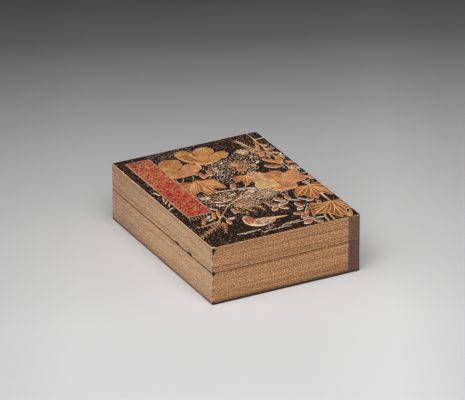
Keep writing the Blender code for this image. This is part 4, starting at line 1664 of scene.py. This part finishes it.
# Narrow leaf: x and y of its foot, x and y of its tip, width
NARROW_LEAVES = (
    (82.2, 40.8, 76, 33.6, 3.4), (80.6, 46.8, 73, 41.6, 4.4), (83.2, 42.6, 85.4, 33.6, 3.6),
    (82.2, 43.4, 79.8, 36, 2.2), (83.2, 13.4, 81.4, 19.6, 2), (80.4, 18.6, 79.8, 22.6, 2.2),
    (83, 22.8, 88, 23.6, 2.2), (82, 25.6, 84.6, 29.4, 1.8), (81.2, 25.2, 76.4, 26.2, 2.2),
    (80.8, 26.8, 77, 30.2, 2.6), (85.2, 28.8, 88.2, 30.4, 1.8), (77.8, 19.6, 75.4, 22.6, 2.2),
    (82.4, 29, 80.6, 32.4, 1.8), (84.2, 16, 86.4, 19.4, 1.4), (36.4, 41, 37.6, 34, 3.2),
    (41, 39.6, 42.8, 33.4, 2.8), (37.6, 39, 42.4, 37, 2.4), (34.2, 35.6, 36.4, 31.4, 2.4),
    (57.6, 41.6, 62.2, 32, 2.6), (58.8, 42.6, 66.4, 36.4, 2.4), (63, 40, 67, 31.4, 2.2),
    (67, 39.4, 69.6, 36.6, 2.4), (60.4, 36.6, 58.2, 30.6, 2.2), (90, 44.6, 86.2, 42.2, 3),
    (88.6, 69, 89.4, 62.8, 2.2), (47, 37.6, 46.4, 31.4, 2), (86.6, 36.4, 89, 34.8, 1.8),
    (20.8, 88.6, 24.4, 79, 2), (17.4, 88.6, 21, 81.6, 2.2), (12.6, 86.8, 9.4, 91.4, 1.8),
    (85, 119, 88.6, 112, 2.2), (84.2, 119, 83.8, 112.6, 1.4), (71.2, 119.2, 72.8, 111, 1),
    (74.8, 119.2, 75.6, 112, 1),
)


@dataclass
class SmallLeaves:
    """The oval, silver and narrow leaves, each oval and narrow one with a raised pale edge, a painted
    highlight, and each narrow one with a midrib.
    """

    shop: Workshop
    # Heading of the side of each leaf that gets the painted highlight, in degrees
    highlight_heading: float = 215.0
    dome: float = 0.1 * MM
    edge_height: float = 0.12 * MM
    steps: int = 24

    def leaf(self, pile: Relief, spec: Numbers, pointed: float, lift: float, edge: Numbers = ()) -> None:
        """Adds one leaf.

        Args:
            pile: Where it goes.
            spec: Its foot's place, its tip's, its width and, if it has one, its tone.
            pointed: How pointed its tip is, from 0 to 1.
            lift: The height of its rim.
            edge: The width and base of a pale edge, a painted highlight on the side towards the near
            corner, if it has one. A pointed leaf then has a midrib too.
        """
        foot = cover_point(*spec[:2])
        reach = cover_point(*spec[2:4]) - foot
        across = Vector((-reach.y, reach.x)).normalized() * spec[4] / 2 * MM

        def rim(angle: float) -> Vector:
            """The rim's point for an angle."""
            share = (1 + math.cos(angle)) / 2
            return foot + reach * share + across * math.sin(angle) * (1 - pointed * 0.55 * share)

        pile.plate(rim, foot + reach * 0.5, self.shop.leaflet, lift, self.dome, 0, sum(spec[5:]))
        if not edge:
            return
        if pointed:
            pile.stroke([foot, foot + reach * 0.9], 0.4 * MM, 0.1 * MM, 1, base=0.2 * MM)
        # The pale edge is a painted highlight on the side that faces the highlight heading
        toward, points, turns = heading(self.highlight_heading), [], []
        for step in range(self.steps):
            angle = math.tau * step / self.steps
            points.append(foot + reach * (1 + math.cos(angle)) / 2 + across * math.sin(angle))
            turns.append((reach * math.cos(angle) + across * 2 * math.sin(angle)).angle(toward))
        nearest = turns.index(min(turns))
        arc = [points[(nearest + shift) % self.steps] for shift in range(-8, 9, 2)]
        pile.stroke(arc, edge[0] * MM, self.edge_height, 1, taper=0.1, base=edge[1] * MM)

    def build(self) -> None:
        """Builds the leaves."""
        ovals, silver, narrow = (Relief(self.shop) for _ in range(3))
        for spec in OVAL_LEAVES:
            self.leaf(ovals, spec, 0.0, 0.14 * MM, (0.55, 0.1))
        for spec in SILVER_LEAVES:
            self.leaf(silver, spec, 0.9, 0.16 * MM)
        for spec in NARROW_LEAVES:
            self.leaf(narrow, spec, 0.9, 0.15 * MM, (0.45, 0.06))
        ovals.finish("oval_leaves", [Metal.OVAL, Metal.RIM])
        silver.finish("silver_leaves", [Metal.SILVER], "silver_relief")
        narrow.finish("narrow_leaves", [Metal.ORANGE, Metal.VEIN])


# Stem: its points in millimetres, then its width
STEMS = (
    ((16.2, 94.6, 20.2, 90, 24.4, 85.6, 29, 80.4, 34.4, 75.8, 40, 72.6, 46, 69, 50.6, 65.4), 0.61),
    ((0.6, 68, 2.6, 66.6, 4.8, 66.2), 0.75), ((5.3, 60.6, 4, 61.8, 2.6, 64.4), 0.85),
    ((5.3, 56.8, 4, 58, 2.4, 60.4), 1), ((5, 52.4, 4.2, 54.4, 3.2, 57.4), 0.95),
    ((3, 44.6, 4, 46.6, 4.8, 49.6), 1.1), ((33, 59.6, 38, 60.2, 43.6, 61, 49.4, 62.2, 52.6, 63.8), 0.69),
    ((53.8, 56.4, 52, 59.6, 50.2, 62.2), 0.5), ((74, 6.4, 75.6, 12, 77, 17.4, 78.6, 23), 0.36),
    ((81.6, 49.6, 82, 45, 83.6, 41.6, 88.6, 36.8), 0.58),
    ((55.2, 90.2, 58.8, 88.6, 63.4, 87.4, 65.6, 84.6), 0.44),
    ((70.8, 96.2, 68.8, 98.2, 67, 101.4, 65.2, 105.4), 0.44),
    ((65.4, 105.2, 63.2, 109, 65.6, 112.2, 64.2, 113.8), 0.36), ((76.4, 95, 78.4, 92, 81.2, 90.4), 0.44),
    ((83.2, 89.8, 83.6, 94, 83.9, 99), 0.65), ((82, 69.4, 82.6, 72, 83, 75.6), 0.58),
    ((20.9, 41.2, 21, 37.6, 21.9, 34.2), 0.44), ((23, 41, 25, 37.6, 26.6, 34.2), 0.44),
    ((28.8, 41.6, 31, 38.4, 31.8, 34.6), 0.44), ((35.6, 41.4, 36.2, 38.4, 36.6, 35), 0.36),
    ((38.4, 42.4, 40.6, 40.6, 43, 36.6), 0.36), ((23.2, 86.4, 23.4, 90, 23.5, 93.6), 0.39),
    ((71.4, 119, 72.2, 114.6, 74, 109.6), 0.44), ((74.8, 119, 75.6, 114, 75.4, 109.6), 0.44),
    ((84.4, 118.8, 85.2, 113, 88.6, 108.6), 0.5), ((83.8, 70.8, 86, 69, 89.2, 67.4), 0.36),
    ((67.4, 64.8, 69.2, 62.8, 68.2, 61.2), 0.58),
)
# Frond: its stem's points in millimetres, the leaflets on each side, their length and lean
FRONDS = (
    ((20, 91.6, 14.6, 97.4, 8.6, 101.4, 1.6, 105.6), 8, 5, 30),
    ((18.6, 92.8, 12, 94.4, 5, 94.4), 6, 2.4, 50), ((19.6, 94, 18.2, 99.6, 15.6, 105.6), 5, 3.4, 30),
    ((15.4, 85.6, 12.6, 88.4, 9.4, 91.8), 4, 2.2, 44), ((78.6, 23, 76.2, 14, 74, 5.6), 10, 3.8, 50),
    ((83.4, 9.8, 81.8, 16, 79.4, 23.4), 6, 2, 44), ((31, 84.4, 33.4, 87.6, 36.4, 91), 4, 2, 50),
    ((38.4, 84, 40, 87.6, 41, 91.4), 4, 2.2, 48), ((45, 84.4, 46.4, 87.6, 46.6, 91), 4, 2, 50),
    ((50.4, 83, 53.4, 85.4, 56, 88.4), 4, 2, 50),
)
# Rosette of narrow petals: x, y, first and last turn, petals in a row, length of the outer row
ROSETTES = (
    (86.8, 51.6, 60, 330, 8, 4.2), (70.6, 20.4, 10, 350, 10, 3.8), (25, 64.2, 20, 340, 8, 3),
)


@dataclass
class Sprays:
    """Stems, fern fronds and rosettes of narrow petals."""

    shop: Workshop
    height: float = 0.3 * MM
    leaflet_width: float = 0.82 * MM
    petal_width: float = 0.62 * MM

    def build(self) -> None:
        """Builds the stems, the fronds and the rosettes."""
        pile = Relief(self.shop)
        for points, width in STEMS:
            pile.stroke(cover_path(*points), width * MM, self.height, taper=0.35)
        pile.finish("stems", [Metal.SEED])
        self.fronds()
        self.rosettes()

    def fronds(self) -> None:
        """Builds the fern fronds, each leaflet a short tapered stroke."""
        pile, dice = Relief(self.shop), random.Random(31)
        for number, (points, count, length, lean) in enumerate(FRONDS):
            path = cover_path(*points)
            pile.stroke(path, 0.34 * MM, 0.2 * MM, taper=0.6, tone=0.8)
            look = int(number > 3)
            for step in range(count):
                share = 0.08 + 0.88 * step / (count - 1)
                centre, way = smooth_path(path, share)
                for side in (1, -1):
                    turn = math.degrees(math.atan2(way.y, way.x)) + side * (lean + dice.uniform(-7, 7))
                    far = length * MM * (1.1 - 0.5 * share) * dice.uniform(0.85, 1.1)
                    leaflet = [centre, centre + heading(turn) * far]
                    tone = dice.random() ** 2
                    pile.stroke(leaflet, self.leaflet_width, self.height, look, taper=0.15, tone=tone)
        pile.finish("fern_fronds", [Metal.VEIN, Metal.LILAC])

    def rosettes(self) -> None:
        """Builds the half-open flowers of narrow petals."""
        pile, dice = Relief(self.shop), random.Random(47)
        for x, y, first, last, count, length in ROSETTES:
            heart, length = cover_point(x, y), length * MM
            for row, share in enumerate((1.0, 0.55)):
                width, height = self.petal_width * (1 - 0.2 * row), (0.2 + 0.05 * row) * MM
                for step in range(count):
                    turn = first + (last - first) * (step + 0.5 * (row % 2)) / (count - 1)
                    turn += dice.uniform(-3, 3)
                    start = heart + heading(turn) * length * 0.16
                    end = heart + heading(turn) * length * share * dice.uniform(0.9, 1.08)
                    bow = (start + end) / 2 + heading(turn + 90) * length * 0.05
                    pile.stroke([start, bow, end], width, height, taper=-0.1, tone=dice.random())
        pile.finish("rosettes", [Metal.SEED])


# Cloud of small flowers: middle x, y, half length, half width, turn, spacing, silver share
CLOUDS = (
    (47, 34, 6.6, 8.8, 0, 1.12, 0.34), (56, 35, 8, 8, 20, 1.24, 0.24), (66, 30, 8.4, 9, 0, 1.36, 0.24),
    (71, 23, 6, 6, 0, 1.15, 0.18), (47.4, 45, 5.4, 7.6, 0, 1.4, 0.36), (62, 42.6, 7.6, 4, 10, 1.33, 0.18),
    (80, 30, 7, 5, 0, 2.1, 0.3), (86.6, 21, 3, 4, 0, 1.45, 0.12), (28.6, 65, 8.4, 6.6, 0, 1.3, 0.1),
    (40, 67.4, 7.4, 6, 0, 1.08, 0.2), (53.6, 71.2, 9.4, 5.8, 0, 1.04, 0.42),
    (59, 73.4, 4.8, 5.6, 0, 1.04, 0.42), (26, 74.6, 5.6, 5, 0, 1.39, 0.08),
    (35, 80.6, 5.4, 6.6, 0, 1.27, 0.18), (45, 78.6, 9.6, 5.8, 0, 1.16, 0.1),
    (44, 87, 11.6, 2.8, 0, 2.3, 0.18), (56.6, 80, 4.4, 4.4, 0, 1.27, 0.18),
    (86.4, 51, 3.4, 5.8, 0, 1.45, 0.18), (52, 28, 8.6, 4, 10, 1.33, 0.36), (87.6, 35, 2, 4.4, 0, 1.33, 0.3),
    (65.4, 77.4, 3.2, 2.4, 0, 1.21, 0.3), (22.4, 61, 2.2, 2.8, 0, 1.21, 0.18),
    (84.6, 70.6, 3, 2, 0, 1.33, 0.24), (22.6, 70.4, 2.4, 6, 0, 1.33, 0.1),
)


@dataclass
class SeedClouds:
    """The dense clouds of tiny flowers, as round seeds, short strokes and small curls."""

    shop: Workshop
    half_x: float = BOX.width / 2 - 1.3 * MM
    half_y: float = BOX.length / 2 - 1.3 * MM
    slip_x: float = 21.2 * MM - BOX.width / 2
    slip_y: float = BOX.length / 2 - 82 * MM
    height: float = 0.26 * MM

    def kept(self, point: Vector) -> bool:
        """Whether a point is on the cover and clear of the title slip."""
        on_slip = point.x < self.slip_x and point.y > self.slip_y
        return abs(point.x) < self.half_x and abs(point.y) < self.half_y and not on_slip

    def build(self) -> None:
        """Builds the clouds, as a gold and a silver piece."""
        gold, silver, dice = Relief(self.shop), Relief(self.shop), random.Random(5)
        heads: list[Vector] = []
        for x, y, half_length, half_width, turn, spacing, silver_share in CLOUDS:
            tilt = Matrix.Rotation(math.radians(turn), 2)
            for _ in range(int(4 * math.pi * half_length * half_width / spacing**2)):
                angle, reach = dice.uniform(0, math.tau), math.sqrt(dice.random())
                offset = Vector((math.cos(angle) * half_length, math.sin(angle) * half_width)) * reach * MM
                head = cover_point(x, y) + tilt @ offset
                if any((head - other).length < spacing * MM for other in heads):
                    continue
                heads.append(head)
                if self.kept(head):
                    self.seed(silver if dice.random() < silver_share else gold, head, dice)
        gold.finish("seed_clouds_gold", [Metal.SEED, Metal.PINK])
        silver.finish("seed_clouds_silver", [Metal.SILVER, Metal.LILAC], "silver_relief")

    def seed(self, pile: Relief, middle: Vector, dice: random.Random) -> None:
        """Adds one seed, short stroke or curl.

        Args:
            pile: Where it goes.
            middle: Its middle.
            dice: Draws its kind, turn and size.
        """
        kind, tone = dice.random(), dice.random() ** 1.5
        red, broad = 0.1, 0.0
        for x, y, reach, share, width, _ in SPOTS:
            if (middle - cover_point(x, y)).length < reach * MM:
                red, broad = share, width
        look, turn = int(dice.random() < red), dice.uniform(0, 360)
        tone *= 0.5 if broad else 1.0
        if kind < 0.45:
            pile.dot(middle, dice.uniform(0.3, 0.46) * MM, dice.uniform(0.22, 0.4) * MM, look, tone)
        elif kind < 0.85:
            half = heading(turn) * (dice.uniform(0.4, 0.8) + 0.5 * broad) * MM
            width = (broad or dice.uniform(0.5, 0.68)) * MM
            pile.stroke([middle - half, middle + half], width, self.height, look, taper=0.3, tone=tone)
        else:
            radius, sweep = dice.uniform(0.5, 0.7) * MM, dice.uniform(80, 110)
            path = [middle + heading(turn + sweep * step) * radius for step in range(3)]
            pile.stroke(path, 0.5 * MM, self.height, look, taper=0.3, tone=tone)


# Pale edges of the bird's breast and belly, a painted highlight, and of its wing, in millimetres
BIRD_EDGES = (
    (34.4, 94, 31.6, 95.8, 30.3, 99.4, 30.8, 103.4, 33.4, 106.2, 37, 107.8, 40, 107.4),
    (40.4, 99.8, 43.6, 100.8, 47, 102),
)
# Part of the bird: x and y of its middle, its length, width and turn, the heights of its rim and of its
# dome above it, all in millimetres and degrees, then its material slot and its tone
BIRD_PARTS = (
    (39.2, 103.2, 14.8, 7.6, 168, 0.2, 0.22, 0, 0.2),
    (33.4, 98.8, 9.8, 5.8, 98, 0.24, 0.2, 1, 0.1),
    (41.2, 102.4, 9.6, 4.6, 168, 0.42, 0.1, 0, 0.7),
)
# The bird's beak, the middle of its eye and its legs from the body to the toes, in millimetres
BIRD_BEAK = (34.4, 95, 36, 92.6)
BIRD_EYE = (34, 96.4)
BIRD_LEGS = ((40.6, 107.2, 39.6, 111.4), (42.2, 106.6, 42.4, 109.8))


@dataclass
class Bird:
    """A small bird in profile, facing the fore-edge."""

    shop: Workshop
    barbs: int = 16
    metals: tuple[str, ...] = (Metal.PLUMAGE, Metal.BREAST, Metal.RIM, "cover_black", Metal.CREASE)

    def add_part(self, pile: Relief, spec: Numbers) -> None:
        """Adds an egg-shaped part with small feathers.

        Args:
            pile: Where it goes.
            spec: Its row of the table of parts.
        """
        x, y, length, width, turn, lift, dome, look, tone = spec
        middle, along, across = cover_point(x, y), heading(turn), heading(turn + 90)

        def rim(angle: float) -> Vector:
            """The rim's point for an angle."""
            side = math.sin(angle) * width / 2 * MM * (1 + 0.16 * math.cos(angle))
            return middle + along * math.cos(angle) * length / 2 * MM + across * side

        def feathers(point: Vector, reach: float) -> Marks:
            """Cuts the feathers.

            Args:
                point: A place on the part.
                reach: Its ring's share of the outline.

            Returns:
                The change of height, the streak and the gleam there.
            """
            spots = uneven(point.x * 700, point.y * 620, 2)
            wave = 0.5 + 0.5 * math.sin(point.x * 4200 + 2.4 * math.sin(point.y * 2600))
            streak = min(0.3 * wave + 1.0 * smooth(0.0, 0.3, spots), 1.0)
            return -0.03 * MM * wave * smooth(1, 0.8, reach), streak, 0.9 + 0.09 * smooth(0.0, -0.4, spots)

        pile.plate(rim, middle, self.shop.petal, lift * MM, dome * MM, look, tone, feathers)

    def build(self) -> None:
        """Builds the bird."""
        pile, dice = Relief(self.shop), random.Random(12)
        for spec in BIRD_PARTS:
            self.add_part(pile, spec)
        pile.stroke(cover_path(*BIRD_BEAK), 1.1 * MM, 0.3 * MM, 1, taper=0.85)
        for shift in (0.0, 0.7, 1.4):
            tail = cover_path(44.6, 101.2 + shift, 49.6, 102.1 + shift * 0.6, 54.8, 103)
            pile.stroke(tail, 0.95 * MM, 0.32 * MM, 0 if shift else 2, taper=0.35, tone=shift / 2)
        # The pale breast and belly edge is a painted highlight
        for edge in BIRD_EDGES:
            pile.stroke(cover_path(*edge), 1.05 * MM, 0.36 * MM, 2, taper=0.25, base=0.1 * MM)
        for _ in range(self.barbs):
            start = cover_point(dice.uniform(35.4, 45.0), dice.uniform(100.4, 104.6))
            path = [start, start + heading(dice.uniform(-30, 6)) * dice.uniform(0.8, 1.6) * MM]
            pile.stroke(path, 0.55 * MM, 0.07 * MM, 4, base=0.5 * MM)
        for step in range(4):
            x, y = 36.6 + step * 1.5, 0.6 * step
            wing = cover_path(x, 100.4 + y, 40.6 + step * 1.6, 102.4 + y, 45 + step * 1.1, 103.2)
            pile.stroke(wing, 0.36 * MM, 0.08 * MM, 2, base=0.46 * MM, tone=0.5)
        for leg in BIRD_LEGS:
            path = cover_path(*leg)
            pile.stroke(path, 1.5 * MM, 0.26 * MM, taper=0.2)
            for turn in (190, 225, 330):
                pile.stroke([path[-1], path[-1] + heading(turn) * 1.5 * MM], 0.7 * MM, 0.2 * MM)
        pile.dot(cover_point(*BIRD_EYE), 0.36 * MM, 0.56 * MM, 3)
        pile.finish("bird", self.metals)


# Row of ground strokes: its distance from the head, where it starts and where it ends, in millimetres
GROUND_ROWS = (
    (111.6, 19.4, 33), (112.2, 22, 29), (111.8, 36.6, 40.4), (112.2, 46, 59.6), (111.2, 49, 56),
    (114.6, 32.8, 49),
)
# Fringe under the slip: where it starts and ends from the fore-edge and its spacing, in millimetres
FRINGE = (5.4, 16, 1.75)
# Field of loose flecks: its sides in millimetres and how many it holds
FLECK_FIELDS = (
    (20.5, 50, 1, 10, 170), (50, 82, 1, 24, 120), (42, 60, 38, 58, 90), (60, 86, 30, 52, 90),
    (20.5, 62, 82, 96, 120), (85, 89, 1.2, 60, 70), (1, 5, 1, 118, 60), (6, 88, 112, 119, 40),
)


@dataclass
class Ground:
    """The strokes of ground under the bird, and the loose flecks of foil."""

    shop: Workshop
    height: float = 0.2 * MM
    fringe_top: float = 81.8
    fringe_end: float = 85.2

    def build(self) -> None:
        """Builds the strokes and the flecks."""
        strokes, flecks, dice = Relief(self.shop), Relief(self.shop), random.Random(9)
        for y, x, last in GROUND_ROWS:
            while x < last:
                length = dice.uniform(0.9, 2.4)
                lift = dice.uniform(-0.4, 0.4)
                path = cover_path(x, y + lift, x + length, y + lift + dice.uniform(-0.5, 0.4))
                strokes.stroke(path, dice.uniform(1.0, 1.5) * MM, self.height, tone=dice.random())
                x += length * dice.uniform(0.6, 0.95)
        x, last, step = FRINGE
        while x < last:
            path = cover_path(x + 0.4, self.fringe_top, x - 0.4, self.fringe_end + dice.uniform(-0.6, 0.6))
            strokes.stroke(path, 0.8 * MM, self.height, 1, taper=0.2, tone=0.4)
            x += step
        for bead in cover_path(0.62, 119.3, 1.3, 119.5):
            strokes.dot(bead, 0.5 * MM, 0.16 * MM)
        for x0, x1, y0, y1, count in FLECK_FIELDS:
            for _ in range(count):
                centre = cover_point(dice.uniform(x0, x1), dice.uniform(y0, y1))
                radius = dice.uniform(0.14, 0.34) * MM
                flecks.fleck(centre, radius, dice.uniform(0, math.tau), dice.random())
        strokes.finish("ground_strokes", [Metal.RIM, Metal.PALE])
        flecks.finish("foil_flecks", [Metal.SILVER], "silver_relief")


@dataclass
class TitleSlip:
    """The long title slip: red, with a gilt border and a worn gold lattice, and no lettering."""

    shop: Workshop
    x: float = 5.4
    y: float = 5.4
    width: float = 15.0
    length: float = 75.8
    border: float = 0.9
    margin: float = 0.25
    cell: float = 2.0
    lift: float = 0.3 * MM
    sink: float = 0.2 * MM
    recess: float = 0.1 * MM
    softening: float = 0.06 * MM

    def build(self) -> None:
        """Builds the slip and its lattice."""
        self.panel()
        self.lattice()

    def panel(self) -> None:
        """Models the slip with its raised border."""
        middle = cover_point(self.x + self.width / 2, self.y + self.length / 2)
        height = self.lift + self.sink
        deselect_all()
        place = (middle.x, middle.y, BOX.cover_top + self.lift - height / 2)
        bpy.ops.mesh.primitive_cube_add(size=1.0, location=place)
        obj = bpy.context.object
        obj.scale = (self.width * MM, self.length * MM, height)
        bpy.ops.object.transform_apply(location=True, rotation=True, scale=True)
        unselect_mesh()
        for face in obj.data.polygons:
            face.select = face.normal.z > 0.9
        bpy.ops.object.mode_set(mode="EDIT")
        bpy.ops.mesh.inset(thickness=self.border * MM, depth=0)
        bpy.ops.mesh.inset(thickness=self.softening, depth=-self.recess)
        turn_outwards()
        obj.name = obj.data.name = "title_slip"
        coat(obj.data, (Metal.EDGING, "slip_red"))
        for face in obj.data.polygons:
            within_x = abs(face.center.x - middle.x) < self.width * MM / 2 - self.border * MM
            within_y = abs(face.center.y - middle.y) < self.length * MM / 2 - self.border * MM
            face.material_index = int(face.normal.z > 0.5 and within_x and within_y)
        bevel = obj.modifiers.new("softened", "BEVEL")
        bevel.width = self.softening
        bevel.segments = 2
        bevel.limit_method = "ANGLE"
        bevel.use_clamp_overlap = True
        bpy.ops.object.modifier_apply(modifier="softened")
        bpy.ops.object.shade_smooth_by_angle(angle=math.radians(30))
        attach(obj, "root")

    def lattice(self) -> None:
        """Builds the lattice of six-sided cells, rubbed away in part towards the tail."""
        pile, dice = Relief(self.shop), random.Random(17)
        step_x, step_y = self.cell * math.sqrt(3) / 2, self.cell * 0.75
        inner_x, inner_y = (size - 2 * self.border - 2 * self.margin for size in (self.width, self.length))
        columns = int(inner_x / (step_x * 2)) + 1
        base = self.lift - self.recess
        for row in range(int(inner_y / step_y) + 1):
            y = self.border + 0.4 + row * step_y
            worn = 0.3 + 0.3 * smooth(14, 50, y)
            for column in range(-columns, columns + 1):
                x = self.width / 2 + column * step_x + (row % 2) * step_x / 2
                if abs(x - self.width / 2) >= inner_x / 2 or not 0.4 < y - self.border < inner_y:
                    continue
                heart = cover_point(self.x + x, self.y + y)
                for turn in (90, 210, 330):
                    if dice.random() >= worn:
                        path = [heart, heart + heading(turn) * self.cell * 0.5 * MM]
                        pile.stroke(path, 0.44 * MM, 0.07 * MM, taper=0.0, base=base, tone=dice.random())
        pile.finish("slip_lattice", [Metal.FRET])


@dataclass
class BindingThread:
    """The twisted thread of the binding: a long run beside the spine, and a stitch at each hole."""

    shop: Workshop
    width: float = 0.75 * MM
    turn: float = 1.1 * MM
    run_height: float = 0.26 * MM
    stitch_height: float = 0.24 * MM
    wrap_height: float = 0.22 * MM
    from_spine: float = 6.1
    first_hole: float = 9.4
    stitches: int = 5
    run_ends: float = 0.5
    run_pieces: int = 8

    def holes(self) -> list[float]:
        """The distance of each hole from the head, in millimetres."""
        span = BOX.length / MM - 2 * self.first_hole
        return [self.first_hole + span * number / (self.stitches - 1) for number in range(self.stitches)]

    def build(self) -> None:
        """Builds the thread on the cover and down the spine."""
        pile = Relief(self.shop)
        x = BOX.width / MM - self.from_spine
        span = (BOX.length / MM - 2 * self.run_ends) / self.run_pieces
        ends = [self.run_ends + span * number for number in range(self.run_pieces + 1)]
        for start, end in zip(ends, ends[1:]):
            path = cover_path(x, start, x, end)
            pile.stroke(path, self.width, self.run_height, taper=0.0, twist=self.turn)
        for y in self.holes():
            path = cover_path(x, y, BOX.width / MM - 0.4, y)
            pile.stroke(path, self.width, self.stitch_height, taper=0.0, twist=self.turn)
        pile.finish("binding_thread", [Metal.THREAD])
        self.wraps("spine_wraps_lid", BOX.lid_bottom + 0.1 * MM, BOX.cover_top - 0.2 * MM)
        self.wraps("spine_wraps_base", 0.3 * MM, BOX.base_top - 0.1 * MM)

    def wraps(self, name: str, low: float, high: float) -> None:
        """Builds the stitches' runs down the spine.

        Args:
            name: The piece's name.
            low: Their lowest height.
            high: Their highest.
        """
        pile = Relief(self.shop)
        for hole in self.holes():

            def place(point: Vector, y: float = cover_point(0, hole).y) -> Placed:
                """Draws a point of the reed to the run.

                Args:
                    point: The point.
                    y: The hole's place along the spine.

                Returns:
                    Its place and its marks.
                """
                up = low + (high - low) * point.x
                swell = 0.82 + 0.18 * math.cos(math.tau * ((up - low) / self.turn + point.y * 0.25))
                out = self.wrap_height * point.z * swell if point.z > 0 else -pile.sink
                where = Vector((BOX.width / 2 + out, y + point.y * self.width / 2 * swell, up))
                return where, (abs(point.y), 0, 0.2)

            pile.add(self.shop.reed(self.shop.longest), place)
        pile.finish(name, [Metal.THREAD])


def skyward(azimuth: float, elevation: float) -> Vector:
    """The direction from the box to what stands at an azimuth and an elevation, in degrees."""
    turn, up = math.radians(azimuth), math.radians(elevation)
    return Vector((math.sin(turn) * math.cos(up), -math.cos(turn) * math.cos(up), math.sin(up)))


@dataclass
class PhotoCamera:
    """The camera, at the viewing angle and distance of the photograph."""

    azimuth: float = -27.73
    elevation: float = 25.67
    distance: float = 29.85 * 90 * MM
    focal_pixels: float = 4913.7
    frame_pixels: float = 465.0
    shift_right: float = 2.2
    shift_down: float = 16.5
    sensor: float = 36.0

    def away(self) -> Vector:
        """The level direction in which the camera looks."""
        back = skyward(self.azimuth, self.elevation)
        return -Vector((back.x, back.y, 0)).normalized()

    def build(self) -> None:
        """Places the camera and makes it the scene's."""
        back = skyward(self.azimuth, self.elevation)
        turn = math.radians(self.azimuth)
        right = Vector((math.cos(turn), math.sin(turn), 0))
        up = back.cross(right)
        per_pixel = self.distance / self.focal_pixels
        centre = Vector((0, 0, BOX.cover_top / 2))
        aim = centre + up * self.shift_down * per_pixel - right * self.shift_right * per_pixel
        data = bpy.data.cameras.new("photo_camera")
        data.lens = self.focal_pixels / self.frame_pixels * self.sensor
        data.sensor_width = self.sensor
        data.clip_start, data.clip_end = 0.1, 20.0
        camera = bpy.data.objects.new("photo_camera", data)
        camera.location = aim + back * self.distance
        camera.rotation_euler = (-back).to_track_quat("-Z", "Y").to_euler()
        bpy.context.scene.collection.objects.link(camera)
        bpy.context.scene.camera = camera


@dataclass(frozen=True)
class Lamp:
    """A broad soft light: where it comes from, how broad it looks and its power."""

    name: str
    azimuth: float
    elevation: float
    breadth: float
    power: float

    def build(self) -> None:
        """Places the light."""
        data = bpy.data.lights.new(self.name, "SUN")
        data.energy = self.power
        data.angle = math.radians(self.breadth)
        obj = bpy.data.objects.new(self.name, data)
        obj.location = skyward(self.azimuth, self.elevation)
        obj.rotation_euler = obj.location.to_track_quat("Z", "Y").to_euler()
        bpy.context.scene.collection.objects.link(obj)


@dataclass
class Studio:
    """The floor, the soft lights and the faint light of the room."""

    room: float = 0.06
    floor_size: float = 8.0
    floor_gap: float = 0.05 * MM
    lamps: tuple[Lamp, ...] = (
        Lamp("overhead_softbox", -28.0, 62.0, 60.0, 2.3),
        Lamp("left_softbox", -85.0, 38.0, 60.0, 1.1),
        Lamp("front_fill", 15.0, 30.0, 60.0, 0.52),
    )

    def build(self) -> None:
        """Builds the floor and the light."""
        deselect_all()
        bpy.ops.mesh.primitive_plane_add(size=self.floor_size, location=(0, 0, -self.floor_gap))
        bpy.ops.object.transform_apply(location=True, rotation=True, scale=True)
        floor = bpy.context.object
        floor.name = floor.data.name = "floor"
        coat(floor.data, ["floor_paper"])
        for lamp in self.lamps:
            lamp.build()
        world = bpy.data.worlds.new("room")
        world.use_nodes = True
        background = world.node_tree.nodes["Background"]
        background.inputs["Color"].default_value = (1.0, 1.0, 1.0, 1.0)
        background.inputs["Strength"].default_value = self.room
        bpy.context.scene.world = world
        bpy.context.scene.view_settings.view_transform = "Standard"


def main() -> None:
    """Builds the dressed box in its studio and reports each piece."""
    logging.basicConfig(level=logging.INFO, format="%(name)s %(message)s")
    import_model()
    PhotoCamera().build()
    finishes = Finishes()
    for finish, tones in METAL_TONES.items():
        finishes.raised(finish.value, tones)
    finishes.slip(SLIP_TONES)
    finishes.floor()
    Studio().build()
    earlier = set(bpy.context.scene.objects)
    LidShell(finishes).build()
    BaseShell(finishes).build()
    shop = Workshop()
    for part in (Blossoms, Leaves, SmallLeaves, Sprays, SeedClouds, Bird, Ground, TitleSlip, BindingThread):
        part(shop).build()
    for piece in set(bpy.context.scene.objects) - earlier:
        LOG.info("%s: %d faces", piece.name, len(piece.data.polygons))


if __name__ == "__main__":
    main()
